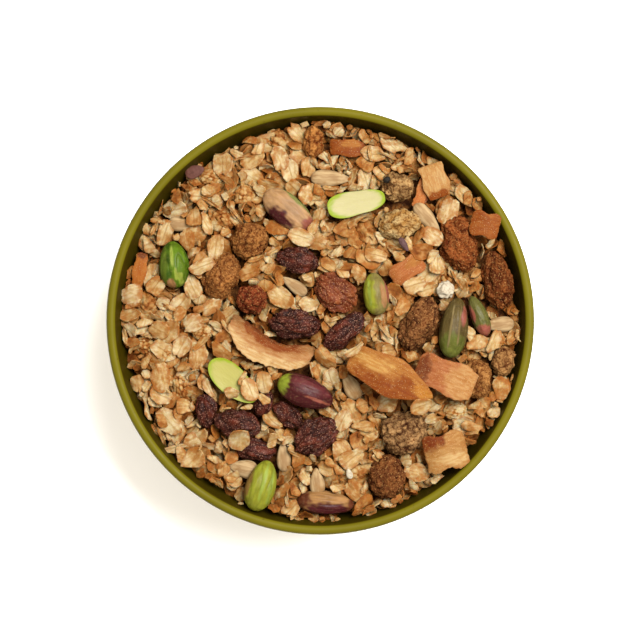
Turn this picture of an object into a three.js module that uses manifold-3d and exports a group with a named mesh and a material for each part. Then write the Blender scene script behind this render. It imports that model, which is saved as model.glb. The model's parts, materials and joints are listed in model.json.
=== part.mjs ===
// A round stoneware bowl filled with fruit and nut granola, in millimetres.
//
// +Z is up, and the origin is the centre of the foot ring, on the surface that the bowl stands on.
// The bowl is turned round +Z. The granola is one heap: a mound that fills the bowl to just under
// its lip, with rolled oats and sunflower kernels fused on at true size. Pistachios, raisins, dried
// mulberries and toasted coconut chips are separate pieces. Each is let down onto the mound and the
// pieces that are there already, and settles where it lies lowest.
import * as THREE from "three";
import { mergeVertices } from "three/addons/utils/BufferGeometryUtils.js";
import Module from "manifold-3d";

const wasm = await Module();
wasm.setup();

// ---- driving dimensions ----

const RIM_DIAMETER = 130;
const BOWL_HEIGHT = 62;
const LIP_THICKNESS = 3;
const FOOT_DIAMETER = 68;
const FOOT_WIDTH = 3.2;
const FOOT_HEIGHT = 4;
const RECESS_DEPTH = 2.4; // how far the underside inside the foot ring lies above the table
const FLOOR_THICKNESS = 4.2; // between the underside's recess and the inside floor
const FLOOR_RADIUS = 27; // the flat of the inside floor
const WALL_FLARE = 8; // how far the wall leans out over its height, on top of its round belly
const BELLY_STEPS = 6; // facets of the wall from floor to lip
const SECTORS = 40; // facets of the bowl and of the mound all the way round

const GAP = 0.35; // between pieces that touch
const MOUND_TOP = BOWL_HEIGHT - 5; // the bare mound at its centre
const MOUND_EDGE = BOWL_HEIGHT - 8; // the bare mound at the wall
const MOUND_LEAN = 1.5; // how much higher the mound's edge is on the side of LEAN_TOWARDS
const LEAN_TOWARDS = THREE.MathUtils.degToRad(-38);
const MOUND_RINGS = 14;
const OAT_COVER = 3; // how far the oats' upper surface lies over the bare mound

const OATS_TRIED = 272;
const OAT_ATTEMPTS = 6;
const OAT_SCATTER = [-1.5, 1.5]; // how far an oat lies from its place in the spiral, along X and Y
const OAT_LENGTH = [7, 9.8];
const OAT_WIDTH = [5.2, 7.2];
const OAT_THICKNESS = 1.15;
const OAT_SIDES = 6;
const LYING_TILT = [0, 30]; // degrees
const LYING_LIFT = [0.2, 1.6]; // of an oat's middle over the mound
const STANDING_TILT = [50, 78];
const STANDING_LIFT = [0.8, 2];
const STANDING_SHARE = 0.3; // of the oats, which stand on edge between the others
const LEAST_HOLD = 1; // cubic millimetres of an oat that are sunk in the mound
const SEED = 20;
const KERNEL_LIFT = 0.25; // of a sunflower kernel's middle over the mound, as a share of its width
const SMOOTHED_AWAY = 0.05; // how far the heap's facets may move when its smallest are merged

const DROP_FROM = BOWL_HEIGHT + 20;
const DROP_STEP = 1.5;
const DROP_TOLERANCE = 0.02;
const SLIDE = 1.6; // how far a piece may slide aside while it settles
const SLIDE_WAYS = 8;
const SLIDE_GAIN = 0.6; // how much lower it must come to lie for each millimetre that it slides

// ---- what lies on the mound ----
// at: its middle seen from above. yaw: the way its long axis points, in degrees from +X. size: long,
// wide and thick. proud: how far its top stands over the oats round it, where that isn't what PROUD
// gives for its kind. Each list starts with what lies lowest.

const PROUD = { pistachio: 3.4, raisin: 2.8, mulberry: 3.4, coconut: 2 };

// How much each form stands out from the plain lobe, as a share of its girth.
const NUT_TAPER = 0.12;
const NUT_GROOVE = 0.1;
const RAISIN_FOLD = 0.1;
const RAISIN_FINE_FOLD = 0.06;
const DRUPELET = 0.075;
const MULBERRY_LUMP = 0.12;
const MULBERRY_BULGE = 0.06;
const MULBERRY_TAPER = 0.08;
const CHIP_WAVE = 0.09;

const PISTACHIOS = [
  { name: "pistachio_bright_green", at: [-44.6, 17.1], yaw: 95, size: [14.4, 10.2, 9] },
  { name: "pistachio_half_skinned", at: [-9.5, 33.2], yaw: -39, size: [18.8, 10.6, 7] },
  { name: "pistachio_blanched_half", at: [11.7, 35.6], yaw: 12, size: [17.7, 8.6, 5], half: true,
    blunt: 0.18 },
  { name: "pistachio_green_tan", at: [16.9, 8.1], yaw: 98, size: [13, 8.6, 7.5] },
  { name: "pistachio_small_olive", at: [48.4, 1.4], yaw: 112, size: [13, 5.8, 6], proud: 2 },
  { name: "pistachio_large_olive", at: [40.6, -2.2], yaw: 82, size: [18.4, 9.6, 8.4], proud: 4.2 },
  { name: "pistachio_yellow_green", at: [-18.6, -49.6], yaw: 74, size: [15.8, 10.2, 9.2] },
  { name: "pistachio_rim_purple", at: [1.6, -55.4], yaw: -5, size: [17.4, 8, 7.4], proud: 1.6 },
  { name: "pistachio_green_half", at: [-26.5, -18.3], yaw: -42, size: [18.2, 9.6, 5], half: true, proud: 3 },
  { name: "pistachio_purple", at: [-4.6, -21.6], yaw: -22, size: [17.8, 10.6, 8.6], proud: 4.6 },
];

const RAISINS = [
  { name: "raisin_under_nut", at: [-10, -28.6], yaw: -40, size: [11, 6.4, 5], proud: 0.4 },
  { name: "raisin_small_dark", at: [-17.4, -26], yaw: 62, size: [8.4, 5.6, 5], proud: 0.4 },
  { name: "raisin_lower_left", at: [-20, -39.2], yaw: -12, size: [13.4, 7, 5.6], proud: 0.8 },
  { name: "raisin_left", at: [-34.6, -27.6], yaw: 98, size: [10.8, 7, 6] },
  { name: "raisin_middle_left", at: [-25.2, -31.4], yaw: -14, size: [14.6, 8.4, 6.6], proud: 3.2 },
  { name: "raisin_broad_dark", at: [-1, -35], yaw: 34, size: [15.2, 11, 7] },
  { name: "raisin_golden", at: [4.6, 8.6], yaw: -38, size: [14.6, 11.4, 6], proud: 2.2 },
  { name: "raisin_top", at: [-7, 18.4], yaw: -8, size: [13.2, 8, 6.4] },
  { name: "raisin_centre_left", at: [-7.8, -1], yaw: -6, size: [15.8, 9, 7], proud: 3.8 },
  { name: "raisin_centre_right", at: [7.2, -3.2], yaw: 42, size: [15.6, 7.6, 6.6], proud: 3.2 },
];

const MULBERRIES = [
  { name: "mulberry_long_left", at: [-29.8, 13.6], yaw: 72, size: [14.6, 10.8, 9] },
  { name: "mulberry_upper_left", at: [-22.4, 24.4], yaw: 35, size: [11.8, 10, 8.4] },
  { name: "mulberry_small_red", at: [-20.8, 6.4], yaw: 20, size: [9.4, 9, 7.4] },
  { name: "mulberry_crumbly", at: [23.4, 40.6], yaw: 20, size: [10, 9.4, 8] },
  { name: "mulberry_pale", at: [24.4, 29.2], yaw: 12, size: [13, 8.8, 7.4], proud: 2.2 },
  { name: "mulberry_right_amber", at: [42.2, 23.4], yaw: -72, size: [17.2, 11.2, 9] },
  { name: "mulberry_rim_right", at: [54, 12.4], yaw: 102, size: [17.4, 9.4, 8.6] },
  { name: "mulberry_middle_dark", at: [30, -0.9], yaw: 66, size: [17.4, 9.8, 8.8] },
  { name: "mulberry_lower_crumbly", at: [25.8, -34], yaw: 60, size: [14.4, 12.4, 9.4] },
  { name: "mulberry_lower_smooth", at: [20, -47.4], yaw: 82, size: [13.2, 11.6, 9] },
  { name: "mulberry_right_low", at: [47.4, -17.6], yaw: 100, size: [12, 8.8, 8], proud: 2.4 },
  { name: "mulberry_rim_small", at: [55.8, -12.4], yaw: 80, size: [9.2, 6.6, 6.6], proud: 2 },
  { name: "mulberry_rim_top", at: [-2.5, 54.6], yaw: 92, size: [9.6, 6.6, 6.4], proud: 1.6 },
];

// arch: how high the chip's middle stands over its ends. bow: how far the middle stands aside of a
// straight line between the ends. dish: how much its long edges turn up. tips: how wide the first and
// the last end are against the middle. An end narrower than POINTED_BELOW runs to a point.
const POINTED_BELOW = 0.2;
const COCONUT_CHIPS = [
  { name: "coconut_pink_brown", at: [37.8, -16.8], yaw: -22, size: [18.4, 10.6, 1.3], arch: 1.4,
    tips: [0.5, 0.8], proud: 1.4 },
  { name: "coconut_golden", at: [21.4, -16.6], yaw: -27, size: [27.6, 11.6, 1.5], arch: 2.2,
    tips: [0.45, 0.06], proud: 2.4 },
  { name: "coconut_curled", at: [-14.9, -5.4], yaw: -24, size: [27, 8.6, 1.3], arch: 0.8, bow: -4.4,
    dish: 1.6, tips: [0.5, 0.5] },
  { name: "coconut_rim_square", at: [37.2, -39.6], yaw: 14, size: [12.8, 11.2, 1.3], arch: 1.6,
    tips: [0.85, 0.85], proud: 3 },
  { name: "coconut_folded_low", at: [30, 40], yaw: 70, size: [12.2, 4.6, 1.2], arch: 0.6,
    tips: [0.7, 0.7] },
  { name: "coconut_folded_high", at: [35.4, 43], yaw: 108, size: [10.6, 8, 1.2], arch: 1,
    tips: [0.85, 0.85], proud: 2.6 },
  { name: "coconut_right_amber", at: [49.8, 29], yaw: -14, size: [8.8, 7.6, 1.3], arch: 0.8,
    tips: [0.75, 0.75] },
  { name: "coconut_top_toasted", at: [8.4, 52.8], yaw: -4, size: [11, 5.4, 1.2], arch: 0.9,
    tips: [0.5, 0.5] },
  { name: "coconut_left_edge", at: [-56, 15.6], yaw: 80, size: [10.4, 4.2, 1.2], arch: 0.6,
    tips: [0.5, 0.5], proud: 1 },
  { name: "coconut_behind_nut", at: [26.4, 15.6], yaw: 35, size: [11, 6.6, 1.2], arch: 1,
    tips: [0.6, 0.6] },
];

// Sunflower kernels, fused to the mound: middle, yaw of the pointed end, length and width.
const SUNFLOWER_KERNELS = [
  { at: [3.2, 43.4], yaw: -2, size: [12.4, 4.9] },
  { at: [32.6, 31.2], yaw: -50, size: [11.6, 4.6] },
  { at: [-23.4, -45.2], yaw: 168, size: [9, 5.4] },
  { at: [-11.2, -41.6], yaw: 95, size: [9, 4.2] },
  { at: [-1, -49], yaw: 95, size: [8.4, 4.4] },
  { at: [54.4, -1.2], yaw: 185, size: [9.4, 4.5] },
  { at: [9.4, -20], yaw: 120, size: [9, 5] },
  { at: [-42.4, 29.4], yaw: -8, size: [8.4, 4.2] },
  { at: [-7.9, 10.6], yaw: 145, size: [9, 3.8] },
];

const COLOURS = {
  bowl: { color: 0x8a8018, roughness: 0.42 },
  granola: { color: 0xc59a5c, roughness: 0.8 },
  pistachio: { color: 0x93a032, roughness: 0.55 },
  raisin: { color: 0x3d1d1c, roughness: 0.45 },
  mulberry: { color: 0x7b4a26, roughness: 0.8 },
  coconut: { color: 0xcf9650, roughness: 0.65 },
};

// ---- from three.js geometry to solids and back ----

function solidOf(geometry) {
  const flat = geometry.index ? geometry.toNonIndexed() : geometry;
  const bare = new THREE.BufferGeometry().setAttribute("position", flat.getAttribute("position"));
  const merged = mergeVertices(bare, 1e-3);
  return new wasm.Manifold(
    new wasm.Mesh({
      numProp: 3,
      vertProperties: merged.attributes.position.array,
      triVerts: new Uint32Array(merged.index.array),
    }),
  );
}

function geometryOf(solid) {
  const mesh = solid.getMesh();
  return new THREE.BufferGeometry()
    .setAttribute("position", new THREE.BufferAttribute(mesh.vertProperties, 3))
    .setIndex(new THREE.BufferAttribute(mesh.triVerts, 1));
}

function meshOf(name, geometry, kind) {
  const mesh = new THREE.Mesh(geometry, new THREE.MeshStandardMaterial({ ...COLOURS[kind], metalness: 0 }));
  mesh.name = name;
  return mesh;
}

function seededRandom(seed) {
  let state = seed >>> 0;
  return () => {
    state = (Math.imul(state, 1664525) + 1013904223) >>> 0;
    return state / 2 ** 32;
  };
}

function meet(a, b) {
  const [boxA, boxB] = [a.boundingBox(), b.boundingBox()];
  const apart = [0, 1, 2].some((k) => boxA.max[k] < boxB.min[k] || boxB.max[k] < boxA.min[k]);
  return !apart && !a.intersect(b).isEmpty();
}

// ---- the bowl ----

const RIM_RADIUS = RIM_DIAMETER / 2;
const INNER_FLOOR = RECESS_DEPTH + FLOOR_THICKNESS;

// The wall's corners from its base to the lip: a quarter ellipse that leans out by WALL_FLARE.
function wallProfile(baseRadius, lipRadius, baseHeight) {
  const rise = BOWL_HEIGHT - LIP_THICKNESS / 2 - baseHeight;
  return Array.from({ length: BELLY_STEPS + 1 }, (_, i) => {
    const turn = (i / BELLY_STEPS) * (Math.PI / 2);
    const share = 1 - Math.cos(turn);
    const belly = (lipRadius - baseRadius - WALL_FLARE) * Math.sin(turn);
    return new THREE.Vector2(baseRadius + belly + WALL_FLARE * share, baseHeight + rise * share);
  });
}

const OUTER_WALL = wallProfile(FOOT_DIAMETER / 2, RIM_RADIUS, FOOT_HEIGHT);
const INNER_WALL = wallProfile(FLOOR_RADIUS, RIM_RADIUS - LIP_THICKNESS, INNER_FLOOR);

// The inside's radius at a height.
function insideRadius(height) {
  const i = INNER_WALL.findIndex((corner) => corner.y > height);
  if (i < 1) return INNER_WALL.at(i).x;
  const [below, above] = [INNER_WALL[i - 1], INNER_WALL[i]];
  return THREE.MathUtils.mapLinear(height, below.y, above.y, below.x, above.x);
}

function bowlGeometry() {
  const footRadius = FOOT_DIAMETER / 2;
  const lipRadius = LIP_THICKNESS / 2;
  const lip = [45, 90, 135].map((degrees) => {
    const a = THREE.MathUtils.degToRad(degrees);
    return new THREE.Vector2(
      RIM_RADIUS - lipRadius + lipRadius * Math.cos(a),
      BOWL_HEIGHT - lipRadius + lipRadius * Math.sin(a),
    );
  });
  const profile = [
    new THREE.Vector2(0, RECESS_DEPTH),
    new THREE.Vector2(footRadius - FOOT_WIDTH - 0.8, RECESS_DEPTH),
    new THREE.Vector2(footRadius - FOOT_WIDTH, 0),
    new THREE.Vector2(footRadius - 0.6, 0),
    new THREE.Vector2(footRadius, 0.6),
    ...OUTER_WALL,
    ...lip,
    ...INNER_WALL.toReversed(),
    new THREE.Vector2(0, INNER_FLOOR),
  ];
  return new THREE.LatheGeometry(profile, SECTORS).rotateX(Math.PI / 2);
}

// ---- the shapes of the pieces, each round its own middle with its long axis on X ----

// A sphere drawn out to a piece's size, with relief(along, round) scaling its girth. along runs from
// -1 to 1 over the length, and round is the angle about it, 0 at the side.
function lobe([long, wide, thick], meridians, rings, relief) {
  const geometry = new THREE.SphereGeometry(1, meridians, rings);
  const at = geometry.attributes.position;
  for (let i = 0; i < at.count; i++) {
    const along = at.getY(i);
    const girth = relief(along, Math.atan2(at.getZ(i), at.getX(i)));
    at.setXYZ(i, (along * long) / 2, (-at.getX(i) * girth * wide) / 2, (at.getZ(i) * girth * thick) / 2);
  }
  return geometry;
}

// A shelled nut: narrower at one end, with a shallow groove down each side. blunt rounds its ends
// off. A half lies with its flat cut face up.
function pistachioShape({ size, half, blunt = 0 }) {
  const [long, wide, thick] = size;
  const whole = lobe([long, wide, half ? thick * 1.7 : thick], 12, 6, (along, round) => {
    const groove = NUT_GROOVE * Math.pow(Math.cos(round), 8);
    return (1 - NUT_TAPER * along - groove) * Math.pow(Math.max(0.02, 1 - along ** 2), -blunt);
  });
  if (!half) return whole;
  const at = whole.attributes.position;
  const cut = thick * 0.15;
  for (let i = 0; i < at.count; i++) at.setZ(i, Math.min(at.getZ(i), cut + 0.02 * at.getX(i)));
  return whole;
}

// A raisin, with lengthwise folds that wander as they go.
function raisinShape({ size, phase }) {
  return lobe(size, 12, 6, (along, round) => {
    const fold = RAISIN_FOLD * Math.sin(4 * round + 2.4 * along + phase);
    const fineFold = RAISIN_FINE_FOLD * Math.sin(7 * round - 3 * along);
    return 1 + (fold + fineFold) * (1 - along ** 4);
  });
}

// A mulberry: a crooked lump, knobbly with drupelets in staggered rows.
function mulberryShape({ size, phase }) {
  const rings = 7;
  return lobe(size, 12, rings, (along, round) => {
    const row = Math.round((Math.acos(THREE.MathUtils.clamp(along, -1, 1)) * rings) / Math.PI);
    const knob = DRUPELET * Math.cos(6 * round) * (row % 2 ? 1 : -1);
    const lump = MULBERRY_LUMP * Math.sin(3 * along + phase) * Math.cos(round - phase);
    return 1 + knob + lump + MULBERRY_BULGE * Math.sin(2 * round + phase) - MULBERRY_TAPER * along;
  });
}

// A shaving of coconut: a thin arched strip with wavy edges.
function coconutShape({ size: [long, wide, thick], arch = 0, bow = 0, dish = 0, tips, phase }) {
  const steps = 6;
  const lanes = 2;
  const positions = [];
  const faces = [];
  const corner = (layer, i, j) => (layer * (steps + 1) + i) * (lanes + 1) + j;
  for (const layer of [0, 1]) {
    for (let i = 0; i <= steps; i++) {
      const u = (2 * i) / steps - 1;
      const tip = tips[u < 0 ? 0 : 1];
      const round = Math.sqrt(Math.max(0, 1 - u ** 4));
      const narrowing = tip < POINTED_BELOW ? Math.pow(Math.max(0, 1 - Math.abs(u) ** 1.8), 0.8) : round;
      const taper = tip + (1 - tip) * narrowing;
      const halfWidth = (wide / 2) * taper * (1 + CHIP_WAVE * Math.sin(5 * u + phase));
      for (let j = 0; j <= lanes; j++) {
        const v = (2 * j) / lanes - 1;
        positions.push(
          (u * long) / 2,
          v * halfWidth + bow * (1 - u * u),
          arch * (1 - u * u) + dish * v * v + (layer - 0.5) * thick,
        );
      }
    }
  }
  for (let i = 0; i < steps; i++) {
    for (let j = 0; j < lanes; j++) {
      for (const layer of [0, 1]) {
        const around = [[i, j], [i + 1, j], [i + 1, j + 1], [i, j + 1]].map(([m, n]) => corner(layer, m, n));
        if (!layer) around.reverse();
        const [a, b, c, d] = around;
        faces.push(a, b, c, a, c, d);
      }
    }
  }
  const edge = [];
  for (let i = 0; i < steps; i++) edge.push([i, 0]);
  for (let j = 0; j < lanes; j++) edge.push([steps, j]);
  for (let i = steps; i > 0; i--) edge.push([i, lanes]);
  for (let j = lanes; j > 0; j--) edge.push([0, j]);
  edge.forEach(([i, j], k) => {
    const [m, n] = edge[(k + 1) % edge.length];
    const [a, b, c, d] = [corner(0, i, j), corner(0, m, n), corner(1, m, n), corner(1, i, j)];
    faces.push(a, b, c, a, c, d);
  });
  return new THREE.BufferGeometry()
    .setAttribute("position", new THREE.Float32BufferAttribute(positions, 3))
    .setIndex(faces);
}

function oatShape(long, wide) {
  const outline = new THREE.Shape();
  for (let i = 0; i < OAT_SIDES; i++) {
    const a = (i * 2 * Math.PI) / OAT_SIDES;
    outline[i ? "lineTo" : "moveTo"]((Math.cos(a) * long) / 2, (Math.sin(a) * wide) / 2);
  }
  return new THREE.ExtrudeGeometry(outline, { depth: OAT_THICKNESS, bevelEnabled: false }).translate(
    0,
    0,
    -OAT_THICKNESS / 2,
  );
}

function kernelShape([long, wide]) {
  return lobe([long, wide, wide * 0.62], 6, 4, (along) => 1 - 0.4 * along);
}

// ---- the bare mound ----

// In the order in which they are let down.
const PIECES = [
  ...MULBERRIES.map((piece) => ({ ...piece, kind: "mulberry", shape: mulberryShape })),
  ...COCONUT_CHIPS.map((piece) => ({ ...piece, kind: "coconut", shape: coconutShape })),
  ...RAISINS.map((piece) => ({ ...piece, kind: "raisin", shape: raisinShape })),
  ...PISTACHIOS.map((piece) => ({ ...piece, kind: "pistachio", shape: pistachioShape })),
].map((piece, i) => ({ ...piece, phase: i * 1.9 }));

// The mound rises or sinks under each piece, so that its top comes to stand as proud as it should.
function seatHeight(x, y) {
  let [sum, weights] = [0, 0];
  for (const { kind, at, yaw, size, proud = PROUD[kind], arch = 0, dish = 0 } of PIECES) {
    const offset = new THREE.Vector2(x - at[0], y - at[1]);
    offset.rotateAround(new THREE.Vector2(), -THREE.MathUtils.degToRad(yaw));
    const [along, across] = [offset.x / (size[0] / 2 + 1), offset.y / (size[1] / 2 + 1)];
    const weight = Math.exp(-(along ** 2) - across ** 2);
    sum += weight * (OAT_COVER + proud - size[2] - arch - dish);
    weights += weight;
  }
  return sum / Math.max(1, weights);
}

function moundHeight(x, y) {
  const out = Math.hypot(x, y) / insideRadius(MOUND_EDGE);
  const lean = MOUND_LEAN * out * Math.cos(Math.atan2(y, x) - LEAN_TOWARDS);
  const lumps = 0.5 * Math.sin(x / 9 + 1) * Math.cos(y / 8) + 0.35 * Math.sin((x - y) / 6);
  return THREE.MathUtils.lerp(MOUND_TOP, MOUND_EDGE, out ** 2.2) + lean + lumps + seatHeight(x, y);
}

// Fills the bowl up to the mound's top, clear of the bowl.
function moundGeometry() {
  const inset = 1.5 * GAP;
  const points = [];
  const faces = [];
  const addRing = (pointAt) => {
    const first = points.length;
    for (let j = 0; j < SECTORS; j++) {
      const a = (j * 2 * Math.PI) / SECTORS;
      points.push(pointAt(Math.cos(a), Math.sin(a)));
    }
    return first;
  };
  const rings = [];
  for (let i = 1; i <= MOUND_RINGS; i++) {
    rings.push(
      addRing((cos, sin) => {
        const wall = insideRadius(MOUND_EDGE);
        const edgeHeight = moundHeight(wall * cos, wall * sin);
        const radius = ((insideRadius(edgeHeight) - inset) * i) / MOUND_RINGS;
        return new THREE.Vector3(cos * radius, sin * radius, moundHeight(cos * radius, sin * radius));
      }),
    );
  }
  for (const { x: radius, y: height } of INNER_WALL.slice(0, -2).toReversed()) {
    rings.push(
      addRing((cos, sin) => new THREE.Vector3(cos * (radius - inset), sin * (radius - inset), height + GAP)),
    );
  }
  const top = points.push(new THREE.Vector3(0, 0, moundHeight(0, 0))) - 1;
  const bottom = points.push(new THREE.Vector3(0, 0, INNER_FLOOR + GAP)) - 1;
  for (let j = 0; j < SECTORS; j++) {
    const next = (j + 1) % SECTORS;
    faces.push(top, rings[0] + j, rings[0] + next);
    for (let i = 1; i < rings.length; i++) {
      const [a, b] = [rings[i - 1], rings[i]];
      faces.push(a + j, b + j, b + next, a + j, b + next, a + next);
    }
    faces.push(rings.at(-1) + j, bottom, rings.at(-1) + next);
  }
  return new THREE.BufferGeometry().setFromPoints(points).setIndex(faces);
}

// ---- putting the pieces down ----

// The height at which a solid, let down from a height, first meets one of the supports.
function restingHeight(solid, supports, from) {
  const meets = (height) => {
    const moved = solid.translate([0, 0, height]);
    return supports.some((support) => meet(moved, support));
  };
  let high = from;
  while (!meets(high - DROP_STEP)) high -= DROP_STEP;
  let low = high - DROP_STEP;
  while (high - low > DROP_TOLERANCE) {
    const middle = (low + high) / 2;
    if (meets(middle)) low = middle;
    else high = middle;
  }
  return high;
}

// Where a solid comes to lie: as it is let down, or up to SLIDE aside where that is lower.
function restingPlace(solid, supports) {
  let best = new THREE.Vector3(0, 0, restingHeight(solid, supports, DROP_FROM));
  for (const reach of [SLIDE / 2, SLIDE]) {
    for (let i = 0; i < SLIDE_WAYS; i++) {
      const a = (i * 2 * Math.PI) / SLIDE_WAYS;
      const moved = solid.translate([reach * Math.cos(a), reach * Math.sin(a), 0]);
      const atBest = moved.translate([0, 0, best.z]);
      if (supports.some((support) => meet(atBest, support))) continue;
      const height = restingHeight(moved, supports, best.z);
      if (best.z - height > SLIDE_GAIN * reach) {
        best = new THREE.Vector3(reach * Math.cos(a), reach * Math.sin(a), height);
      }
    }
  }
  return best;
}

// Gives each piece's mesh, its solid, and its room, which is the piece with the gap all round it.
function placePieces(bowl, mound) {
  const placed = [];
  for (const piece of PIECES) {
    const mesh = meshOf(piece.name, piece.shape(piece), piece.kind);
    mesh.rotation.z = THREE.MathUtils.degToRad(piece.yaw);
    mesh.position.set(...piece.at, 0);
    mesh.updateMatrix();
    const roomy = piece.shape({ ...piece, size: piece.size.map((side) => side + 2 * GAP) });
    const room = solidOf(roomy.applyMatrix4(mesh.matrix));
    const place = restingPlace(room, [mound, bowl, ...placed.map(({ solid }) => solid)]);
    mesh.position.add(place);
    mesh.updateMatrix();
    placed.push({
      mesh,
      room: room.translate(place.toArray()),
      solid: solidOf(mesh.geometry.clone().applyMatrix4(mesh.matrix)),
    });
  }
  return placed;
}

// ---- the heap: the mound with oats and kernels fused on ----

function isInsideBowl(solid) {
  const { vertProperties } = solid.getMesh();
  for (let i = 0; i < vertProperties.length; i += 3) {
    const radius = Math.hypot(vertProperties[i], vertProperties[i + 1]);
    if (radius > insideRadius(vertProperties[i + 2]) - 1.5 * GAP) return false;
  }
  return true;
}

function heapGeometry(mound, placed) {
  const random = seededRandom(SEED);
  const between = ([low, high]) => low + (high - low) * random();
  const added = [];
  const isFree = (solid) =>
    isInsideBowl(solid) &&
    !placed.some(({ room }) => meet(solid, room)) &&
    !added.some((other) => meet(solid, other));

  for (const { at, yaw, size } of SUNFLOWER_KERNELS) {
    const kernel = kernelShape(size)
      .rotateZ(THREE.MathUtils.degToRad(yaw))
      .translate(...at, moundHeight(...at) + size[1] * KERNEL_LIFT);
    const solid = solidOf(kernel);
    if (isFree(solid)) added.push(solid);
  }

  const goldenAngle = Math.PI * (3 - Math.sqrt(5));
  const outermost = insideRadius(MOUND_EDGE) - OAT_WIDTH[0] / 2;
  for (let i = 0; i < OATS_TRIED; i++) {
    const radius = outermost * Math.sqrt((i + 0.5) / OATS_TRIED);
    const [x, y] = [radius * Math.cos(i * goldenAngle), radius * Math.sin(i * goldenAngle)];
    for (let attempt = 0; attempt < OAT_ATTEMPTS; attempt++) {
      const stands = random() < STANDING_SHARE;
      const oat = oatShape(between(OAT_LENGTH), between(OAT_WIDTH))
        .rotateX(THREE.MathUtils.degToRad(between(stands ? STANDING_TILT : LYING_TILT)))
        .rotateZ(between([0, 2 * Math.PI]))
        .translate(x + between(OAT_SCATTER), y + between(OAT_SCATTER), 0)
        .translate(0, 0, moundHeight(x, y) + between(stands ? STANDING_LIFT : LYING_LIFT));
      const solid = solidOf(oat);
      if (isFree(solid) && solid.intersect(mound).volume() > LEAST_HOLD) {
        added.push(solid);
        break;
      }
    }
  }
  const fused = wasm.Manifold.union([mound, ...added]).simplify(SMOOTHED_AWAY);
  // Hollows that the fusing seals are filled, and loose scraps are dropped.
  const whole = fused.decompose().reduce((a, b) => (a.volume() > b.volume() ? a : b));
  return geometryOf(whole);
}

// ---- the whole ----

const bowlOfGranola = new THREE.Group();
const bowlMesh = meshOf("bowl", bowlGeometry(), "bowl");
const mound = solidOf(moundGeometry());
const placed = placePieces(solidOf(bowlMesh.geometry), mound);
bowlOfGranola.add(bowlMesh, meshOf("granola", heapGeometry(mound, placed), "granola"));
for (const { mesh } of placed) bowlOfGranola.add(mesh);

export default bowlOfGranola;
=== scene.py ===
import json
import math

import bmesh
import bpy
import numpy as np
from mathutils import Matrix, Vector, noise

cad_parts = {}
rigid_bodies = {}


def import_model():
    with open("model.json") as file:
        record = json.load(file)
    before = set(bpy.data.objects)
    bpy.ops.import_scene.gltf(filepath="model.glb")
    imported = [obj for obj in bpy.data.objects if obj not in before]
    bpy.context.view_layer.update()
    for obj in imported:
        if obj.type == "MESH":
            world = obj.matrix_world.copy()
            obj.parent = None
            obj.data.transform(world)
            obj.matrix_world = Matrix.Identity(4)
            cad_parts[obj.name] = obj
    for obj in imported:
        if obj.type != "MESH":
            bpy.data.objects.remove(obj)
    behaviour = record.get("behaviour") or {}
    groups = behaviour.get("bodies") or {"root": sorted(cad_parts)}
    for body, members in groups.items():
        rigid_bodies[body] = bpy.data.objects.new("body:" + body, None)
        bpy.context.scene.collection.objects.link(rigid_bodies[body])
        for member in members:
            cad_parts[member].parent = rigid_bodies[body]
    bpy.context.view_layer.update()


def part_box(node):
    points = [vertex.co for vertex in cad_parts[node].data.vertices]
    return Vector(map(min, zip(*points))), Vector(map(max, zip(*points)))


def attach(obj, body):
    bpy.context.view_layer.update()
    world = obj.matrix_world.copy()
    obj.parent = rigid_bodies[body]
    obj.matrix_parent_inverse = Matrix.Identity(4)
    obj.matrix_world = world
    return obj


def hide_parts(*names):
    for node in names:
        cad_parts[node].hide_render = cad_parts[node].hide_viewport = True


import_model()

# ---- the camera ----
# It looks straight down on the bowl from well above, as the photograph does. The photograph is
# VIEW_WIDTH wide at the height of the lip.

MM = 0.001  # sizes below are in millimetres, and meshes in metres
VIEW_WIDTH = 193.9 * MM
VIEW_MIDDLE = (-0.1 * MM, 0.2 * MM)
LENS = 120
LIP_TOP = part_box("bowl")[1].z

camera = bpy.data.objects.new("camera", bpy.data.cameras.new("camera"))
camera.data.lens = LENS
camera.location = (*VIEW_MIDDLE, LIP_TOP + VIEW_WIDTH * LENS / camera.data.sensor_width)
bpy.context.scene.collection.objects.link(camera)
bpy.context.scene.camera = camera

# ---- the bowl ----
# A thrown stoneware bowl with a round belly, a rounded lip and a turned foot ring. It is dipped in
# an olive green satin glaze and wiped clean where it stands, so that the foot shows bare clay.

RIM_RADIUS = 65 * MM
BOWL_HEIGHT = 62 * MM
LIP_RADIUS = 1.5 * MM
FOOT_RADIUS = 34 * MM
FOOT_WIDTH = 3.2 * MM
FOOT_HEIGHT = 4 * MM
RECESS_DEPTH = 2.4 * MM
INNER_FLOOR = 6.6 * MM
FLOOR_RADIUS = 27 * MM
WALL_FLARE = 8 * MM
FOOT_EDGE = 0.6 * MM
WALL_STEPS = 40
LIP_STEPS = 8
BOWL_SECTORS = 192
LIP_HIGHLIGHT_DEPTH = 1 * MM  # how far down the lip the painted highlight reaches
WIPED_BELOW = (2.2 * MM, 2.5 * MM)  # bare clay up to here, glaze from there
AXLE = 0.002 * MM  # the section is swept round a circle this small
CRISP_TURN = 50  # degrees, past which an edge of the bowl stays crisp


def wall_points(base_radius, lip_radius, base_height):
    """The wall's section from its base to the lip: a quarter ellipse that leans out."""
    turn = np.linspace(0, math.pi / 2, WALL_STEPS + 1)
    share = 1 - np.cos(turn)
    belly = (lip_radius - base_radius - WALL_FLARE) * np.sin(turn)
    rise = BOWL_HEIGHT - LIP_RADIUS - base_height
    return np.column_stack([base_radius + belly + WALL_FLARE * share, base_height + rise * share])


def feed(tree, value, socket):
    """Links a socket to an input, or sets the input to a plain value."""
    if isinstance(value, bpy.types.NodeSocket):
        tree.links.new(value, socket)
    else:
        socket.default_value = value


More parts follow.
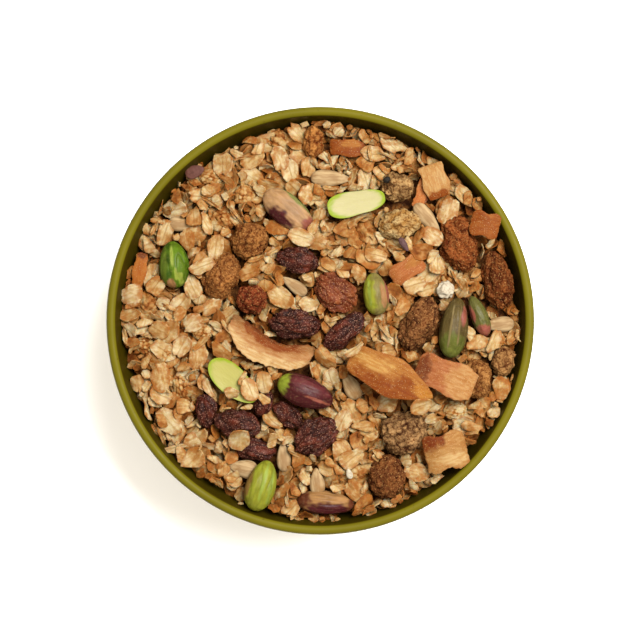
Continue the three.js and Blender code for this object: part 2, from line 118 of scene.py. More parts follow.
def node_in(tree, kind, settings=None, **inputs):
    """Adds a node. An input is named with _ for each space, and is a value or a socket to link."""
    made = tree.nodes.new(kind)
    for name, value in (settings or {}).items():
        setattr(made, name, value)
    for name, value in inputs.items():
        feed(tree, value, made.inputs[name.replace("_", " ")])
    return made


def new_tree(name, kind, sockets_in, sockets_out):
    """A node group with these named sockets, and its input and output nodes."""
    tree = bpy.data.node_groups.new(name, kind)
    for label, socket_type in sockets_in:
        tree.interface.new_socket(name=label, in_out="INPUT", socket_type=socket_type)
    for label, socket_type in sockets_out:
        tree.interface.new_socket(name=label, in_out="OUTPUT", socket_type=socket_type)
    return tree, tree.nodes.new("NodeGroupInput").outputs, tree.nodes.new("NodeGroupOutput").inputs


def run_tree(piece, tree, **values):
    """Runs a Geometry Nodes tree on an object and gives back its result as a plain mesh."""
    modifier = piece.modifiers.new(tree.name, "NODES")
    modifier.node_group = tree
    for item in tree.interface.items_tree:
        label = item.name.replace(" ", "_")
        if item.in_out == "INPUT" and label in values:
            modifier[item.identifier] = values[label]
    graph = bpy.context.evaluated_depsgraph_get()
    mesh = bpy.data.meshes.new_from_object(piece.evaluated_get(graph), depsgraph=graph)
    mesh.name = piece.name
    return mesh


def new_object(name, data):
    """An object in the scene."""
    piece = bpy.data.objects.new(name, data)
    bpy.context.scene.collection.objects.link(piece)
    return piece


LIT = 0.29  # the room is so bright that a surface gives back this much less than it seems to


def rgb(red, green, blue):
    """A colour that looks like this, from 0 to 255 a channel, in the room's light."""
    channels = np.array([red, green, blue]) / 255
    linear = np.where(channels > 0.04045, ((channels + 0.055) / 1.055) ** 2.4, channels / 12.92)
    return (*(LIT * linear).tolist(), 1.0)


def new_finish(name):
    """A material, its tree and the socket of the place in the object."""
    material = bpy.data.materials.new(name)
    material.use_nodes = True
    tree = material.node_tree
    return material, tree, node_in(tree, "ShaderNodeTexCoord").outputs["Object"]


def finished(material, colour, roughness, specular, bump=None, glow=None):
    """The material, with its shader fed. bump is a strength, a depth and a height; glow is how much
    light goes in, how far its red, green and blue go, and over what distance."""
    tree = material.node_tree
    inputs = tree.nodes["Principled BSDF"].inputs
    feed(tree, colour, inputs["Base Color"])
    feed(tree, roughness, inputs["Roughness"])
    inputs["Specular IOR Level"].default_value = specular
    for name, value in zip(("Weight", "Radius", "Scale"), glow or ()):
        inputs["Subsurface " + name].default_value = value
    if bump:
        strength, depth, height = bump
        raised = node_in(tree, "ShaderNodeBump", Strength=strength, Distance=depth, Height=height)
        tree.links.new(raised.outputs["Normal"], inputs["Normal"])
    return material


def worked_out(tree, operation, *values, kind="ShaderNodeMath"):
    """The socket of a sum of values or sockets."""
    made = node_in(tree, kind, {"operation": operation})
    for value, socket in zip(values, made.inputs):
        feed(tree, value, socket)
    return made.outputs["Value"]


def mixed(tree, share, first, second, blend="MIX"):
    """The socket of two colours mixed."""
    made = node_in(tree, "ShaderNodeMix", {"data_type": "RGBA", "blend_type": blend})
    for index, value in ((0, share), (6, first), (7, second)):  # the factor and the two colours
        feed(tree, value, made.inputs[index])
    return made.outputs[2]


def between(tree, value, low, high, to_low=0.0, to_high=1.0):
    """The socket of a value that is mapped smoothly from low..high and clamped."""
    made = node_in(tree, "ShaderNodeMapRange", {"interpolation_type": "SMOOTHSTEP"}, Value=value)
    for name, number in (("From Min", low), ("From Max", high), ("To Min", to_low), ("To Max", to_high)):
        made.inputs[name].default_value = number
    return made.outputs["Result"]


def grain(tree, place, scale, detail=3.0, rough=0.55):
    """The socket of a noise, from 0 to 1, with scale in waves to the metre."""
    made = node_in(tree, "ShaderNodeTexNoise", Vector=place, Scale=scale, Detail=detail, Roughness=rough)
    return made.outputs["Fac"]


def turned_tree():
    """Turns a section, drawn with its radius on X and its height on Y, round the Z axis."""
    tree, given, result = new_tree("turned_clay", "GeometryNodeTree", [
        ("Section", "NodeSocketGeometry"), ("Sectors", "NodeSocketInt"), ("Clay", "NodeSocketMaterial"),
    ], [("Body", "NodeSocketGeometry")])
    axle = node_in(tree, "GeometryNodeCurvePrimitiveCircle", Resolution=given["Sectors"], Radius=AXLE)
    swept = node_in(tree, "GeometryNodeCurveToMesh", Curve=axle.outputs[0], Profile_Curve=given["Section"])
    closed = node_in(tree, "GeometryNodeMergeByDistance", Geometry=swept.outputs[0], Distance=2 * AXLE)
    whole = node_in(tree, "GeometryNodeRealizeInstances", Geometry=closed.outputs[0])
    glazed = node_in(tree, "GeometryNodeSetMaterial", Geometry=whole.outputs[0], Material=given["Clay"])
    tree.links.new(glazed.outputs[0], result["Body"])
    return tree


def glaze_material():
    """Satin glaze with painted shade inside and a painted highlight on the lip, over speckled bare clay."""
    material, tree, place = new_finish("olive_glaze")
    height = node_in(tree, "ShaderNodeSeparateXYZ", Vector=place).outputs["Z"]
    pooled = mixed(tree, between(tree, grain(tree, place, 45), 0.35, 0.7), rgb(122, 111, 10), rgb(108, 98, 6))
    specks = between(tree, grain(tree, place, 900, 2), 0.66, 0.74)
    speckled = mixed(tree, specks, pooled, rgb(96, 84, 16))
    normal = node_in(tree, "ShaderNodeNewGeometry").outputs["Normal"]
    outward = worked_out(tree, "DOT_PRODUCT", place, normal, kind="ShaderNodeVectorMath")
    # Painted shade: the glaze is darkened on the inner wall, where shade falls.
    inside_painted_shade = mixed(tree, between(tree, outward, -30 * MM, -6 * MM, 0.9, 0), speckled, rgb(70, 56, 6))
    # Painted highlight: the glaze is paler over the top of the lip, where the light falls.
    lip = between(tree, height, BOWL_HEIGHT - LIP_HIGHLIGHT_DEPTH, BOWL_HEIGHT, 0, 0.35)
    broken = mixed(tree, lip, inside_painted_shade, rgb(150, 140, 40))
    wiped = worked_out(tree, "MULTIPLY_ADD", grain(tree, place, 60), 1.2 * MM, height)
    bare = between(tree, wiped, *WIPED_BELOW, 1, 0)
    grog = between(tree, grain(tree, place, 1500), 0.4, 0.7)
    clay = mixed(tree, grog, rgb(196, 170, 136), rgb(150, 120, 88))
    satin = between(tree, grain(tree, place, 300), 0.3, 0.7, 0.38, 0.5)
    rough = worked_out(tree, "MAXIMUM", satin, between(tree, bare, 0, 1, 0, 0.85))
    bump = (0.25, 0.15 * MM, grain(tree, place, 220))
    return finished(material, mixed(tree, bare, broken, clay), rough, 0.035, bump)


lip_turn = np.linspace(0, math.pi, LIP_STEPS + 1)[1:-1]
lip_section = np.column_stack([
    RIM_RADIUS - LIP_RADIUS + LIP_RADIUS * np.cos(lip_turn),
    BOWL_HEIGHT - LIP_RADIUS + LIP_RADIUS * np.sin(lip_turn),
])
inner_wall = wall_points(FLOOR_RADIUS, RIM_RADIUS - 2 * LIP_RADIUS, INNER_FLOOR)
foot_section = [
    (0, RECESS_DEPTH),
    (FOOT_RADIUS - FOOT_WIDTH - FOOT_EDGE, RECESS_DEPTH),
    (FOOT_RADIUS - FOOT_WIDTH, FOOT_EDGE / 2),
    (FOOT_RADIUS - FOOT_WIDTH + FOOT_EDGE / 2, 0),
    (FOOT_RADIUS - FOOT_EDGE, 0),
    (FOOT_RADIUS, FOOT_EDGE),
]
outer_wall = wall_points(FOOT_RADIUS, RIM_RADIUS, FOOT_HEIGHT)
section = np.vstack([[(0, INNER_FLOOR)], inner_wall, lip_section[::-1], outer_wall[::-1], foot_section[::-1]])
section_curve = bpy.data.curves.new("bowl_section", "CURVE")
section_curve.dimensions = "3D"
spline = section_curve.splines.new("POLY")
spline.points.add(len(section) - 1)
for point, (radius, height) in zip(spline.points, section):
    point.co = (radius, -height, 0, 1)  # swept round the axle, Y points down
bowl_section = new_object("bowl_section", section_curve)
bowl_mesh = run_tree(bowl_section, turned_tree(), Sectors=BOWL_SECTORS, Clay=glaze_material())
bpy.data.objects.remove(bowl_section)
bowl_mesh.shade_smooth()
bowl_mesh.set_sharp_from_angle(angle=math.radians(CRISP_TURN))
bowl = new_object("bowl_glazed", bowl_mesh)
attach(bowl, "root")
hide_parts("bowl")

# ---- the heap's core ----
# Under the flakes that show, the granola is a packed mass of oats and crumbs that fills the bowl.
# It shows only in the gaps between them, crumbly, its dark brown a painted shade.

MOUND_TOP = BOWL_HEIGHT - 5 * MM
MOUND_EDGE = BOWL_HEIGHT - 8 * MM
MOUND_LEAN = 1.5 * MM
LEAN_TOWARDS = math.radians(-38)
OAT_COVER = 3 * MM  # from the bare mound to the upper side of the oats
CORE_DEPTH = 3.4 * MM  # from the bare mound down to the core
CORE_GAP = 0.5 * MM
CORE_RINGS = 72
CORE_SECTORS = 144


def inside_radius(height):
    """How far out the bowl's inner wall is at a height."""
    return np.interp(height, inner_wall[:, 1], inner_wall[:, 0])


def mound_height(x, y):
    """The bare mound's height, where no piece presses it down."""
    out = np.hypot(x, y) / inside_radius(MOUND_EDGE)
    lean = MOUND_LEAN * out * np.cos(np.arctan2(y, x) - LEAN_TOWARDS)
    lumps = 0.5 * MM * np.sin(x / (9 * MM) + 1) * np.cos(y / (8 * MM))
    lumps = lumps + 0.35 * MM * np.sin((x - y) / (6 * MM))
    return MOUND_TOP + (MOUND_EDGE - MOUND_TOP) * out**2.2 + lean + lumps


def smooth_noise(points, wave, seed=0.0):
    """Noise from -1 to 1 at each point, with lumps about a wave across."""
    shift = Vector((17.3, 9.1, 5.7)) * (seed + 1)
    return np.array([noise.noise(Vector(point) / wave + shift) for point in points])


MARK_KINDS = {1: ("FLOAT", "value"), 3: ("FLOAT_VECTOR", "vector"), 4: ("FLOAT_COLOR", "color")}


def marked_mesh(name, points, faces, finish=None, **marks):
    """A smooth mesh, with marks on its points that are kept for a material or a tree."""
    mesh = bpy.data.meshes.new(name)
    mesh.from_pydata(points.tolist(), [], faces)
    mesh.shade_smooth()
    for mark, values in marks.items():
        kind, field = MARK_KINDS[values.shape[1] if values.ndim > 1 else 1]
        attribute = mesh.attributes.new(mark, kind, "POINT")
        attribute.data.foreach_set(field, np.ascontiguousarray(values, np.float32).ravel())
    if finish:
        mesh.materials.append(finish)
    return mesh


def piece_from(name, mesh, node):
    """A piece that rides on the bowl's body in place of a CAD node."""
    piece = new_object(name, mesh)
    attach(piece, "root")
    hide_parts(node)
    return piece


def core_shape():
    """Rings of points down from the top's middle, over its edge and down the wall to the floor."""
    turn = np.linspace(0, 2 * math.pi, CORE_SECTORS, endpoint=False)
    rings = []
    for share in np.linspace(0, 1, CORE_RINGS + 1)[1:]:
        radius = (inside_radius(MOUND_EDGE - CORE_DEPTH) - CORE_GAP) * share
        x, y = radius * np.cos(turn), radius * np.sin(turn)
        ring = np.column_stack([x, y, mound_height(x, y) - CORE_DEPTH])
        ring[:, 2] += 0.5 * MM * smooth_noise(ring, 1.6 * MM) + 0.4 * MM * smooth_noise(ring, 4 * MM)
        rings.append(ring)
    for radius, height in inner_wall[-4::-4]:
        if height < MOUND_EDGE - CORE_DEPTH - 2 * MM:
            r = radius - CORE_GAP
            rings.append(np.column_stack([r * np.cos(turn), r * np.sin(turn), 0 * turn + height + CORE_GAP]))
    top = (0, 0, mound_height(0, 0) - CORE_DEPTH)
    bottom = (0, 0, INNER_FLOOR + CORE_GAP)
    points = np.vstack([*rings, [top, bottom]])
    faces = []
    last = (len(rings) - 1) * CORE_SECTORS
    for j in range(CORE_SECTORS):
        k = (j + 1) % CORE_SECTORS
        faces.append((len(points) - 2, j, k))
        faces.append((last + k, last + j, len(points) - 1))
        for i in range(0, last, CORE_SECTORS):
            faces.append((i + j, i + CORE_SECTORS + j, i + CORE_SECTORS + k, i + k))
    return points, faces


def core_material():
    """Baked crumbs in painted shade, dark between the paler ones."""
    material, tree, place = new_finish("packed_crumbs")
    crumbs = between(tree, grain(tree, place, 700, 4), 0.35, 0.7)
    # Painted shade: the crumbs are coloured as dark as the shade between the flakes.
    baked = mixed(tree, crumbs, rgb(74, 36, 12), rgb(166, 104, 48))
    pale = between(tree, grain(tree, place, 330, 2), 0.58, 0.72)
    crumbly = (0.6, 0.3 * MM, grain(tree, place, 1100, 4))
    return finished(material, mixed(tree, pale, baked, rgb(204, 160, 100)), 0.8, 0.05, crumbly)


piece_from("granola_core", marked_mesh("granola_core", *core_shape(), core_material()), "granola")

# The height of what lies in the bowl so far, on a square grid seen from above. Each piece is laid
# into it, so that what comes down later comes to rest on it.
PITCH = 0.4 * MM
CELLS = 328


def cells_of(points):
    """The cells under some points."""
    cells = np.clip((points[:, :2] / PITCH + CELLS / 2).astype(int), 0, CELLS - 1)
    return cells[:, 0], cells[:, 1]


cell_places = (np.arange(CELLS) - CELLS / 2 + 0.5) * PITCH
cell_x, cell_y = np.meshgrid(cell_places, cell_places, indexing="ij")
cell_radius = np.hypot(cell_x, cell_y)
lip_and_wall = np.vstack([inner_wall, lip_section[::-1], outer_wall[-2:-1]])
wall_height = np.interp(cell_radius, lip_and_wall[:, 0], lip_and_wall[:, 1])
core_height = mound_height(cell_x, cell_y) - CORE_DEPTH
relief = np.maximum(core_height, wall_height)
topped = np.zeros((CELLS, CELLS), bool)  # the cells under a nut, a fruit or a chip


def lay(points, as_topping=False):
    """Lays a piece's points, closer together than PITCH, into the relief."""
    cells = cells_of(points)
    np.maximum.at(relief, cells, points[:, 2])
    if as_topping:
        topped[cells] = True


# ---- the dried mulberries ----
# Whole dried mulberries, shrunk and knobbly with drupelets and rough with sugar crystals. They run
# from pale beige over amber to a dark reddish brown.

BALL_LEVELS = 6
DRUPELET_RISE = 0.2  # of the fruit's half width, as the next two are
SLUMP = 0.26
CRUMBLE = 0.075
PHASE = 1.9  # from the noise of one topping to that of the next


def ball(levels):
    """The points and faces of a ball of radius 1, evenly covered with triangles."""
    mesh = bmesh.new()
    bmesh.ops.create_icosphere(mesh, subdivisions=levels, radius=1)
    points = np.array([vertex.co[:] for vertex in mesh.verts])
    faces = [[vertex.index for vertex in face.verts] for face in mesh.faces]
    mesh.free()
    return points, faces


BALL_POINTS, BALL_FACES = ball(BALL_LEVELS)


def drawn_out(base, size, girth):
    """A ball drawn out to a size in millimetres, with its girth scaled at each point."""
    long, wide, thick = np.array(size) * MM / 2
    along, side, up = base.T
    return np.column_stack([along * long, side * girth * wide, up * girth * thick])


def set_down(points, node, yaw):
    """Turns a shape to its yaw, in degrees, and centres its box on the CAD node's box."""
    cos, sin = math.cos(math.radians(yaw)), math.sin(math.radians(yaw))
    turned = points @ np.array([[cos, sin, 0], [-sin, cos, 0], [0, 0, 1]])
    low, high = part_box(node)
    return turned + (np.array(low + high) - turned.min(0) - turned.max(0)) / 2


def put_topping(maker, slot, name, yaw, points, faces, finish, **marks):
    """Sets a topping down where its CAD solid lies, lays it in the relief and makes its piece."""
    placed = set_down(points, f"{slot}_{name}", yaw)
    lay(placed, True)
    mesh = marked_mesh(name, placed, faces, finish, **marks)
    return piece_from(f"{maker}_{name}", mesh, f"{slot}_{name}")


def step(values, low, high):
    """0 below low and 1 above high, smooth in between."""
    share = np.clip((values - low) / (high - low), 0, 1)
    return share * share * (3 - 2 * share)


def layered(colours, share, colour):
    """The colours, with another laid over them by its share at each point."""
    return colours + share[:, None] * (np.array(colour) - colours)


def spread_on_ball(count, random):
    """Points spread evenly on the ball, a little out of line."""
    index = np.arange(count) + 0.5
    up = 1 - 2 * index / count
    turn = index * math.pi * (3 - math.sqrt(5))
    flat = np.sqrt(1 - up * up)
    points = np.column_stack([up, flat * np.cos(turn), flat * np.sin(turn)])
    points += random.normal(0, 0.35 / math.sqrt(count), points.shape)
    return points / np.linalg.norm(points, axis=1)[:, None]


def mark_of(tree, name, output="Color"):
    """The socket of a mark on the mesh."""
    return node_in(tree, "ShaderNodeAttribute", {"attribute_name": name}).outputs[output]


def shaded(tree, colour, shade, light):
    """The socket of a colour that is times its shade where light is 0."""
    return mixed(tree, light, mixed(tree, 1.0, colour, (*shade, 1), "MULTIPLY"), colour)


def mulberry_material():
    """Dull dried fruit: crumbly, with painted shade where its bump is low, and dry lighter skin in specks."""
    material, tree, place = new_finish("dried_mulberry")
    crumbly = grain(tree, place, 1300, 5, 0.7)
    # Painted shade: darker where the crumbly bump is low.
    pits_in_painted_shade = shaded(tree, mark_of(tree, "tone"), (0.32, 0.18, 0.1), between(tree, crumbly, 0.36, 0.56))
    dry = between(tree, grain(tree, place, 2300, 3, 0.7), 0.56, 0.66, 0, 0.8)
    skin = mixed(tree, dry, pits_in_painted_shade, rgb(220, 164, 98))
    return finished(material, skin, 0.66, 0.02, (1.0, 0.3 * MM, crumbly))


# Each: yaw, size, its drupelets all round, and its colours from between the drupelets to their tops.
# The darker colour of each is partly painted shade between the drupelets, the lighter partly painted light on
# top.
MULBERRIES = {
    "long_left": (72, (14.6, 10.8, 9), 70, (112, 58, 22), (196, 130, 68)),
    "upper_left": (35, (11.8, 10, 8.4), 60, (112, 58, 22), (200, 134, 70)),
    "small_red": (20, (9.4, 9, 7.4), 44, (96, 34, 16), (170, 86, 48)),
    "crumbly": (20, (10, 9.4, 8), 60, (106, 68, 34), (220, 176, 114)),
    "pale": (12, (13, 8.8, 7.4), 34, (184, 132, 66), (246, 216, 152)),
    "right_amber": (-72, (17.2, 11.2, 9), 66, (104, 44, 16), (178, 100, 48)),
    "rim_right": (102, (17.4, 9.4, 8.6), 80, (86, 36, 12), (156, 88, 42)),
    "middle_dark": (66, (17.4, 9.8, 8.8), 100, (84, 44, 22), (170, 112, 64)),
    "lower_crumbly": (60, (14.4, 12.4, 9.4), 110, (76, 40, 20), (212, 164, 108)),
    "lower_smooth": (82, (13.2, 11.6, 9), 50, (92, 46, 22), (158, 98, 52)),
    "right_low": (100, (12, 8.8, 8), 56, (120, 64, 26), (208, 146, 80)),
    "rim_small": (80, (9.2, 6.6, 6.6), 36, (112, 64, 30), (210, 156, 94)),
    "rim_top": (92, (9.6, 6.6, 6.4), 40, (140, 70, 24), (224, 152, 78)),
}


def knobs(base, count, random):
    """Round knobs of uneven sizes all over a ball: how high each point is on its knob, from 0 to 1,
    and a number from 0 to 1 for the knob that it's on."""
    centres = spread_on_ball(count, random)
    far = np.arccos(np.clip(base @ centres.T, -1, 1))
    reach = 1.3 * math.sqrt(4 / count) * random.uniform(0.65, 1.3, count)
    caps = np.sqrt(np.clip(1 - (far / reach) ** 2, 0, 1)) * random.uniform(0.65, 1, count)
    return caps.max(1), random.uniform(0, 1, count)[caps.argmax(1)]


def mulberry(size, drupelets, low_colour, high_colour, phase):
    """A fruit with the outline of its CAD solid, each drupelet a round cap on it."""
    cap, own = knobs(BALL_POINTS, drupelets, np.random.default_rng(int(phase * 10)))
    along, side, up = BALL_POINTS.T
    around = np.arctan2(up, -side)
    girth = 0.95 + 0.06 * np.sin(2 * around + phase) - 0.08 * along
    girth += 0.12 * np.sin(3 * along + phase) * np.cos(around - phase)
    slump = smooth_noise(BALL_POINTS, 0.45, phase)
    points = drawn_out(BALL_POINTS, size, girth + DRUPELET_RISE * (cap - 0.6) + SLUMP * slump)
    fine = smooth_noise(points, 0.7 * MM, phase) + 0.6 * smooth_noise(points, 0.35 * MM, phase + 1)
    points *= (1 + CRUMBLE * fine)[:, None]
    patchy = step(smooth_noise(points, 2.6 * MM, phase + 3), -0.4, 0.4)
    # Painted light and shade: lighter on the drupelets' tops, darker between them, with each one's own tone.
    tops = step(cap, 0.3, 0.95) * (0.35 + 0.45 * own + 0.3 * patchy)
    colours = np.tile(np.array(rgb(*low_colour)), (len(points), 1))
    return points, layered(colours, np.clip(tops + 0.12 * fine, 0, 1), rgb(*high_colour))


mulberry_finish = mulberry_material()
for index, (name, (yaw, *form)) in enumerate(MULBERRIES.items()):
    points, colours = mulberry(*form, index * PHASE)
    put_topping("fruit", "mulberry", name, yaw, points, BALL_FACES, mulberry_finish, tone=colours)

# ---- the coconut chips ----
# Thin shavings of coconut, toasted until they curl: cream in the middle, golden to orange where the
# heat caught them, with the nut's brown skin still on some edges. Their edges are torn.

CHIP_STEPS = 72
CHIP_LANES = 26
EDGE_WAVE = 0.9 * MM
POINTED_BELOW = 0.2  # an end narrower than this share of the chip runs to a point
CHIP_EDGE = 60  # degrees, past which the edge of a chip stays crisp

CREAM = rgb(216, 176, 118)
GOLDEN = rgb(190, 126, 58)
ORANGE = rgb(156, 82, 28)
BROWN_SKIN = rgb(134, 72, 38)
PINK_BROWN = rgb(192, 122, 74)

# Each: yaw, size, arch, bow, dish, tips, torn, its main colour, and the colours laid over it, each with
# the middle and the reach of its patch along and across the chip, from -1 to 1.
CHIPS = {
    "pink_brown": (-22, (18.4, 10.6, 1.3), 1.4, 0, 0, (0.5, 0.8), 0.5, PINK_BROWN, [
        (rgb(212, 160, 100), 0.9, 0, 0.9, 1.4), (BROWN_SKIN, -0.9, -0.2, 0.4, 1)]),
    "golden": (-27, (27.6, 11.6, 1.5), 2.2, 0, 0, (0.45, 0.06), 0.2, GOLDEN, [
        (ORANGE, 0.1, -0.8, 1, 0.75), (ORANGE, 0.35, 0.1, 0.25, 0.35),
        (rgb(206, 142, 60), 0.85, 0, 0.3, 0.7), (rgb(216, 164, 90), -0.5, 0.3, 0.5, 0.4)]),
    "curled": (-24, (27, 8.6, 1.3), 0.8, -4.4, 1.6, (0.5, 0.5), 0.9, rgb(208, 156, 102), [
        (rgb(230, 196, 140), 0, -0.7, 1.1, 0.5), (rgb(172, 96, 52), 0.05, 0.6, 0.8, 0.34),
        (BROWN_SKIN, 0, 0.98, 0.8, 0.2)]),
    "rim_square": (14, (12.8, 11.2, 1.3), 1.6, 0, 0, (0.85, 0.85), 0.8, rgb(198, 148, 86), [
        (rgb(136, 66, 28), -0.7, 0.8, 0.8, 0.6), (rgb(222, 184, 124), 0.3, -0.5, 1, 0.35)]),
    "folded_low": (70, (12.2, 4.6, 1.2), 0.6, 0, 0, (0.7, 0.7), 0.5, rgb(214, 134, 72), [
        (BROWN_SKIN, 0, -0.9, 0.9, 0.3)]),
    "folded_high": (108, (10.6, 8, 1.2), 1, 0, 0, (0.85, 0.85), 0.3, rgb(214, 168, 106), [
        (ORANGE, -0.95, 0, 0.4, 1.2), (CREAM, 0.1, -0.5, 0.5, 0.4)]),
    "right_amber": (-14, (8.8, 7.6, 1.3), 0.8, 0, 0, (0.75, 0.75), 0.3, rgb(164, 92, 36), [
        (ORANGE, -0.6, 0.6, 0.8, 0.5)]),
    "top_toasted": (-4, (11, 5.4, 1.2), 0.9, 0, 0, (0.5, 0.5), 0.6, ORANGE, [(GOLDEN, 0.2, 0.5, 0.6, 0.5)]),
    "left_edge": (80, (10.4, 4.2, 1.2), 0.6, 0, 0, (0.5, 0.5), 0.4, rgb(196, 118, 48), [
        (BROWN_SKIN, 0.9, 0, 0.25, 1)]),
    "behind_nut": (35, (11, 6.6, 1.2), 1, 0, 0, (0.6, 0.6), 0.4, rgb(194, 120, 66), [
        (GOLDEN, 0.5, 0.3, 0.5, 0.5)]),
}


def sheet_faces(steps, lanes):
    """The faces of a closed sheet: an upper grid, a lower grid and the strip round their edges."""
    def corner(layer, i, j):
        return (layer * (steps + 1) + i) * (lanes + 1) + j

    faces = []
    for i in range(steps):
        for j in range(lanes):
            around = [(i, j), (i + 1, j), (i + 1, j + 1), (i, j + 1)]
            faces.append([corner(1, m, n) for m, n in around])
            faces.append([corner(0, m, n) for m, n in reversed(around)])
    rim = [(i, 0) for i in range(steps)] + [(steps, j) for j in range(lanes)]
    rim += [(i, lanes) for i in range(steps, 0, -1)] + [(0, j) for j in range(lanes, 0, -1)]
    for (i, j), (m, n) in zip(rim, rim[1:] + rim[:1]):
        faces.append([corner(0, i, j), corner(0, m, n), corner(1, m, n), corner(1, i, j)])
    return faces


def patch_share(along, across, patch, ragged):
    """How much of a patch's colour lies at each point."""
    _, middle_along, middle_across, reach_along, reach_across = patch
    far = np.hypot((along - middle_along) / reach_along, (across - middle_across) / reach_across)
    return step(1.2 - far + ragged, 0, 0.5)


def chip(size, arch, bow, dish, tips, torn, colour, patches, phase):
    """A chip with the form of its CAD solid, finer, and with torn edges."""
    long, wide, thick = np.array(size) * MM
    u, v = np.meshgrid(np.linspace(-1, 1, CHIP_STEPS + 1), np.linspace(-1, 1, CHIP_LANES + 1), indexing="ij")
    flat = np.column_stack([u.ravel() * long / 2, v.ravel() * wide / 2, 0 * u.ravel()])
    rag = smooth_noise(flat, EDGE_WAVE, phase) + 0.6 * smooth_noise(flat, 3.4 * EDGE_WAVE, phase + 7)
    rag = rag.reshape(u.shape)
    tip = np.where(u < 0, *tips)
    pointed = np.maximum(0, 1 - abs(u) ** 1.8) ** 0.8
    narrowing = np.where(tip < POINTED_BELOW, pointed, np.sqrt(np.maximum(0, 1 - u**4)))
    taper = tip + (1 - tip) * narrowing
    half = wide / 2 * taper * (0.97 + 0.09 * np.sin(5 * u + phase))
    tear = 0.5 * MM * torn * rag
    x = u * (long / 2) + tear * u * abs(u) ** 7
    y = v * half + tear * v * abs(v) ** 7 + bow * MM * (1 - u * u)
    ripple = 0.22 * MM * smooth_noise(flat, 4 * MM, phase + 2).reshape(u.shape)
    z = (arch * (1 - u * u) + dish * v * v) * MM + ripple
    thin = thick * (0.5 - 0.16 * np.maximum(abs(u), abs(v)) ** 8)
    faces = [np.column_stack([x.ravel(), y.ravel(), (z + side * thin).ravel()]) for side in (-1, 1)]
    colours = np.tile(np.array(colour), (u.size, 1))
    ragged = 0.35 * smooth_noise(flat, 1.6 * MM, phase + 5)
    for patch in patches:
        colours = layered(colours, patch_share(u.ravel(), v.ravel(), patch, ragged), patch[0])
    rim = step(np.maximum(abs(u), abs(v)).ravel(), 0.9, 1)
    colours = layered(colours, 0.35 * rim, ORANGE)
    return np.vstack(faces), np.vstack([colours, colours])


def fibre_group():
    """Noise drawn out along X, as fibres are, from 0 to 1."""
    tree, given, result = new_tree("fibres", "ShaderNodeTree", [
        ("Place", "NodeSocketVector"), ("Scale", "NodeSocketFloat"), ("Stretch", "NodeSocketFloat"),
    ], [("Strands", "NodeSocketFloat")])
    parts = node_in(tree, "ShaderNodeSeparateXYZ", Vector=given["Place"]).outputs
    along = worked_out(tree, "DIVIDE", parts["X"], given["Stretch"])
    drawn = node_in(tree, "ShaderNodeCombineXYZ", X=along, Y=parts["Y"], Z=parts["Z"])
    tree.links.new(grain(tree, drawn.outputs["Vector"], given["Scale"]), result["Strands"])
    return tree


def specks_group():
    """Small crystals or spots: a mask that is 1 on each speck."""
    tree, given, result = new_tree("specks", "ShaderNodeTree", [
        ("Place", "NodeSocketVector"), ("Scale", "NodeSocketFloat"), ("Size", "NodeSocketFloat"),
    ], [("Mask", "NodeSocketFloat")])
    cells = node_in(tree, "ShaderNodeTexVoronoi", Vector=given["Place"], Scale=given["Scale"]).outputs
    inside = worked_out(tree, "LESS_THAN", cells["Distance"], given["Size"])
    chosen = node_in(tree, "ShaderNodeSeparateColor", Color=cells["Color"]).outputs["Red"]
    tree.links.new(worked_out(tree, "MULTIPLY", inside, chosen), result["Mask"])
    return tree


FIBRES, SPECKS = fibre_group(), specks_group()


def fibre(tree, place, scale, stretch=6.0):
    """The socket of a noise drawn out along X."""
    made = node_in(tree, "ShaderNodeGroup", {"node_tree": FIBRES}, Place=place, Scale=scale, Stretch=stretch)
    return made.outputs["Strands"]


def speck_mask(tree, place, scale, size):
    """The socket of the specks' mask."""
    made = node_in(tree, "ShaderNodeGroup", {"node_tree": SPECKS}, Place=place, Scale=scale, Size=size)
    return made.outputs["Mask"]


def coconut_material():
    """Toasted coconut: fine fibres, browner in spots, with a few crystals of sugar."""
    material, tree, place = new_finish("toasted_coconut")
    strands = between(tree, fibre(tree, mark_of(tree, "local", "Vector"), 1500), 0.35, 0.65)
    streaked = shaded(tree, mark_of(tree, "tone"), (0.82, 0.66, 0.5), strands)
    blotch = between(tree, grain(tree, place, 420, 4, 0.65), 0.52, 0.72, 0, 0.5)
    spotted = mixed(tree, blotch, streaked, rgb(182, 112, 48))
    sugared = mixed(tree, speck_mask(tree, place, 2300, 0.2), spotted, rgb(236, 198, 136))
    rough = between(tree, strands, 0, 1, 0.5, 0.62)
    bump = (0.9, 0.2 * MM, grain(tree, place, 1500, 4))
    return finished(material, sugared, rough, 0.04, bump, (0.2, (1, 0.5, 0.2), 0.8 * MM))


coconut_finish = coconut_material()
chip_faces = sheet_faces(CHIP_STEPS, CHIP_LANES)
for index, (name, (yaw, *form)) in enumerate(CHIPS.items(), len(MULBERRIES)):
    points, colours = chip(*form, index * PHASE)
    made = put_topping("chip", "coconut", name, yaw, points, chip_faces, coconut_finish, tone=colours,
                       local=points)
    made.data.set_sharp_from_angle(angle=math.radians(CHIP_EDGE))

# ---- the raisins ----
# Dried whole grapes with deep folds and fine wrinkles, nearly black with a purple sheen, dusted with
# crystals of sugar. One is a golden raisin.

LENGTHWISE = np.array([0.3, 1, 1])  # draws out folds along a fruit or a nut
FOLD_WAVE, FOLD_DEPTH = 2.2 * MM, 0.16
WRINKLE_WAVE, WRINKLE_DEPTH = 0.9 * MM, 0.04

